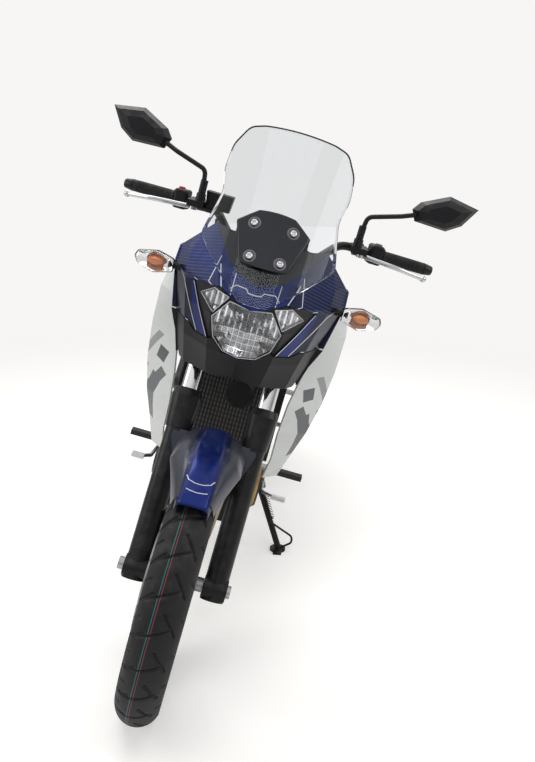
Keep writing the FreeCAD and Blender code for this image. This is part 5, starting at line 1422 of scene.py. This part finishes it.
def seat():
    mesh = nodes["seat"].data.copy()
    mesh.materials.clear()
    shape = bmesh.new()
    shape.from_mesh(mesh)
    bmesh.ops.remove_doubles(shape, verts=shape.verts, dist=1e-6)
    shape.to_mesh(mesh)
    shape.free()
    mesh.materials.append(seat_cover_finish())
    pad = finish_piece("seat_pad", mesh, "root", "vinyl", "seat")
    remesh = pad.modifiers.new("remesh", "REMESH")
    remesh.mode = "VOXEL"
    remesh.voxel_size = 0.0055
    mesh = settled(pad, "seat_pad")
    smooth = pad.modifiers.new("smooth", "SMOOTH")
    smooth.factor, smooth.iterations = 0.5, 8
    mesh = settled(pad, "seat_pad")
    normals = np.empty(len(mesh.vertices) * 3, np.float32)
    mesh.vertices.foreach_get("normal", normals)
    start = coordinates(mesh) - normals.reshape(-1, 3) * 0.002
    mesh.vertices.foreach_set("co", start.astype(np.float32).ravel())
    cloth = pad.modifiers.new("cloth", "CLOTH")
    cloth.settings.use_pressure = True
    cloth.settings.uniform_pressure_force = 4.0
    cloth.settings.effector_weights.gravity = 0.0
    for number in range(1, CLOTH_FRAMES + 1):
        bpy.context.scene.frame_set(number)
    blown = coordinates(bpy.data.meshes.new_from_object(pad.evaluated_get(bpy.context.evaluated_depsgraph_get())))
    pad.modifiers.clear()
    bpy.context.scene.frame_set(1)
    move = blown - start
    far = np.linalg.norm(move, axis=1, keepdims=True)
    move *= np.minimum(1.0, CLOTH_REACH / np.maximum(far, 1e-9))
    upright = (start - offset) @ turn * 1000
    above = upright[:, 2] - (802.0 + (upright[:, 1] - 190.0) * 0.125)
    move *= np.clip((above[:, None] - 6) / 14, 0, 1)
    mesh.vertices.foreach_set("co", (start + move).astype(np.float32).ravel())
    mesh.polygons.foreach_set("use_smooth", np.ones(len(mesh.polygons), bool))
    finer = pad.modifiers.new("finer", "SUBSURF")
    finer.levels = finer.render_levels = 1


seat()

# Finishes by place: wheels, covers, pegs, radiator, dash face


def wheel_finish(name, axle, hub_reach, rim_reach):
    """Black hub and rim with bright spokes between them, by the distance from the axle."""
    finish = Finish(name)
    _, behind, up, _ = finish.where()
    far = from_axle(axle, behind, up)
    spoke = (far > hub_reach) * (far < rim_reach)
    cloud = noise(finish.place, 40.0, 5.0)
    bright = mixed(cloud, (0.52, 0.53, 0.55), (0.66, 0.67, 0.69))
    dark = mixed(cloud, (0.010, 0.010, 0.011), (0.018, 0.018, 0.019))
    finish.set(Base_Color=finish.dusty(mixed(spoke, dark, bright), 0.12), Metallic=blended(spoke, 0.35, 1.0),
               Roughness=blended(spoke, 0.30, 0.22))
    return finish.material


def cover_finish():
    """Black covers whose raised outer step is bronze anodised."""
    finish = Finish("cover_finish")
    x = list(finish.where())[0]
    band = (x > 142.5) * (x < 151.0) | (x < -160.5) * (x > -170.0)
    cloud = noise(finish.place, 50.0, 5.0)
    dark = mixed(cloud, (0.012, 0.012, 0.013), (0.022, 0.022, 0.022))
    bronze = mixed(cloud, (0.36, 0.21, 0.06), (0.50, 0.31, 0.10))
    finish.set(Base_Color=mixed(band, dark, bronze), Metallic=blended(band, 0.3, 1.0),
               Roughness=blended(cloud, 0.26, 0.38))
    return finish.bump(finish.grain(1400.0)["Height"], 0.00006, 0.5)


def peg_finish():
    """Black rubber pads on silver bars and plates."""
    finish = Finish("peg_finish")
    _, behind, up, beside = finish.where()
    pad = ramp(beside, 164.0, 165.0) * ramp(up, 334.5, 335.5) * (behind < 100.0)
    cloud = noise(finish.place, 60.0, 5.0)
    silver = mixed(cloud, (0.42, 0.43, 0.44), (0.56, 0.57, 0.58))
    finish.set(Base_Color=mixed(pad, silver, (0.014, 0.014, 0.015)), Metallic=blended(pad, 1.0, 0.0),
               Roughness=blended(pad, 0.32, 0.6))
    return finish.bump((sine(beside * (2 * math.pi / 6.0)) > 0.3) * pad, 0.0006, 0.8)


def radiator_finish():
    """Black core with folded fins between its flat tubes."""
    finish = Finish("radiator_finish")
    x, _, up, beside = finish.where()
    folds = sine(x * (2 * math.pi / 9.0))
    core = beside < 117.0
    cloud = noise(finish.place, 30.0, 5.0)
    dark = mixed(cloud, (0.010, 0.010, 0.011), (0.030, 0.028, 0.026))
    between_tubes = ramp(sine(up * (2 * math.pi / 12.0)), -0.9, -0.5)
    fin = ramp(folds, 0.1, 0.7) * between_tubes * core
    finish.set(Base_Color=mixed(fin, dark, (0.13, 0.125, 0.115)), Roughness=0.45, Metallic=0.4)
    return finish.bump(folds * core, 0.0008, 0.8)


def dash_finish():
    """Black housing whose rear face carries a dark glass with a ring of dial marks and three plain bars."""
    finish = Finish("dash_finish")
    x, behind, up, _ = finish.where()
    u, z = x - -30.0, up - 1102.0
    far = distance(u, z)
    marks = maths("COSINE", maths("ARCTAN2", z, u) * 24.0) > 0.8
    ring = (far > 23.0) * (far < 28.0)
    rear = behind > -500.0
    bars = finish.lines(x, up, [[(20, 1086), (70, 1086)], [(20, 1102), (70, 1102)], [(20, 1118), (70, 1118)]], 2.2)
    dark = mixed(noise(finish.place, 20.0, 4.0), (0.009, 0.009, 0.010), (0.016, 0.016, 0.017))
    finish.set(Base_Color=mixed((marks * ring | bars) * rear, dark, (0.42, 0.44, 0.46)),
               Roughness=blended(rear, 0.42, 0.16))
    return finish.bump(finish.grain(1100.0)["Height"], 0.00008, 0.5)


wear("side_shrouds", shroud_paint())
wear("front_wheel_rim", wheel_finish("front_wheel_finish", FRONT_AXLE, 49.0, 216.0))
wear("rear_wheel_rim", wheel_finish("rear_wheel_finish", REAR_AXLE, 64.0, 190.0))
wear("engine_covers", cover_finish())
wear("foot_pegs", peg_finish())
wear("radiator", radiator_finish())
wear("dash_panel", dash_finish())

# Floor and light

ROOM = (1.0, 0.99, 0.975)
ROOM_SEEN = 0.93


def lamp(name, place, target, size, power, shows=True):
    """A soft area lamp that looks from its place to a target."""
    data = bpy.data.lights.new(name, "AREA")
    data.shape = "RECTANGLE"
    data.size, data.size_y = size
    data.energy = power
    light = bpy.data.objects.new(name, data)
    light.location = place
    light.rotation_euler = (Vector(target) - Vector(place)).to_track_quat("-Z", "Y").to_euler()
    light.visible_glossy = shows
    bpy.context.collection.objects.link(light)


def world_light():
    """A soft pale room: the camera and glass see it near white, and metal and paint see it brighter overhead."""
    world = bpy.data.worlds.new("room")
    world.use_nodes = True
    bpy.context.scene.world = world
    tree = world.node_tree
    plain = next(n for n in tree.nodes if n.type == "BACKGROUND")
    reflected, seen, glossy = ray_kinds(tree)
    sky = blended(ramp(parts(source(tree, "TexCoord", "Generated"))[2], 0.0, 0.55), 0.22, 0.95)
    dim = maths("SUBTRACT", 1.0, seen | glossy, clamp=True)
    feed(plain.inputs["Color"], ROOM)
    feed(plain.inputs["Strength"], seen * ROOM_SEEN + reflected * sky + dim * 0.42)


def floor():
    """A pale floor that fades into the room's own shade a few metres away, so that no horizon shows."""
    side = 12.0
    mesh = bpy.data.meshes.new("floor")
    mesh.from_pydata([(-side, -side, 0), (side, -side, 0), (side, side, 0), (-side, side, 0)], [], [(0, 1, 2, 3)])
    thing = bpy.data.objects.new("floor", mesh)
    bpy.context.collection.objects.link(thing)
    finish = Finish("floor_finish")
    away = finish.tree.nodes.new("ShaderNodeVectorMath")
    away.operation = "LENGTH"
    feed(away.inputs[0], finish.place)
    far = ramp(Value(away.outputs["Value"]), 1.7, 3.6)
    near_shade = mixed(noise(finish.place, 2.0, 5.0), (0.80, 0.79, 0.775), (0.86, 0.85, 0.835))
    _, seen, glossy = ray_kinds(finish.tree)
    finish.set(Base_Color=mixed(far * seen, near_shade, (0.0, 0.0, 0.0)), Roughness=0.6, Specular_IOR_Level=0.0,
               Emission_Color=ROOM, Emission_Strength=seen * blended(far, 0.36, ROOM_SEEN) + glossy * 0.10)
    mesh.materials.append(finish.material)


world_light()
floor()
lamp("overhead_front", (0.3, -2.0, 3.4), (0.0, -0.3, 0.6), (2.6, 1.4), 50.0, shows=False)
lamp("overhead_rear", (-0.4, 1.2, 3.3), (0.0, 0.3, 0.6), (2.6, 1.4), 40.0)
lamp("left_side", (3.0, -0.6, 2.0), (0.0, 0.0, 0.6), (1.6, 1.6), 22.0)
lamp("right_side", (-3.0, -0.8, 2.0), (0.0, 0.0, 0.6), (1.6, 1.6), 22.0)
bpy.context.scene.view_settings.view_transform = "Standard"
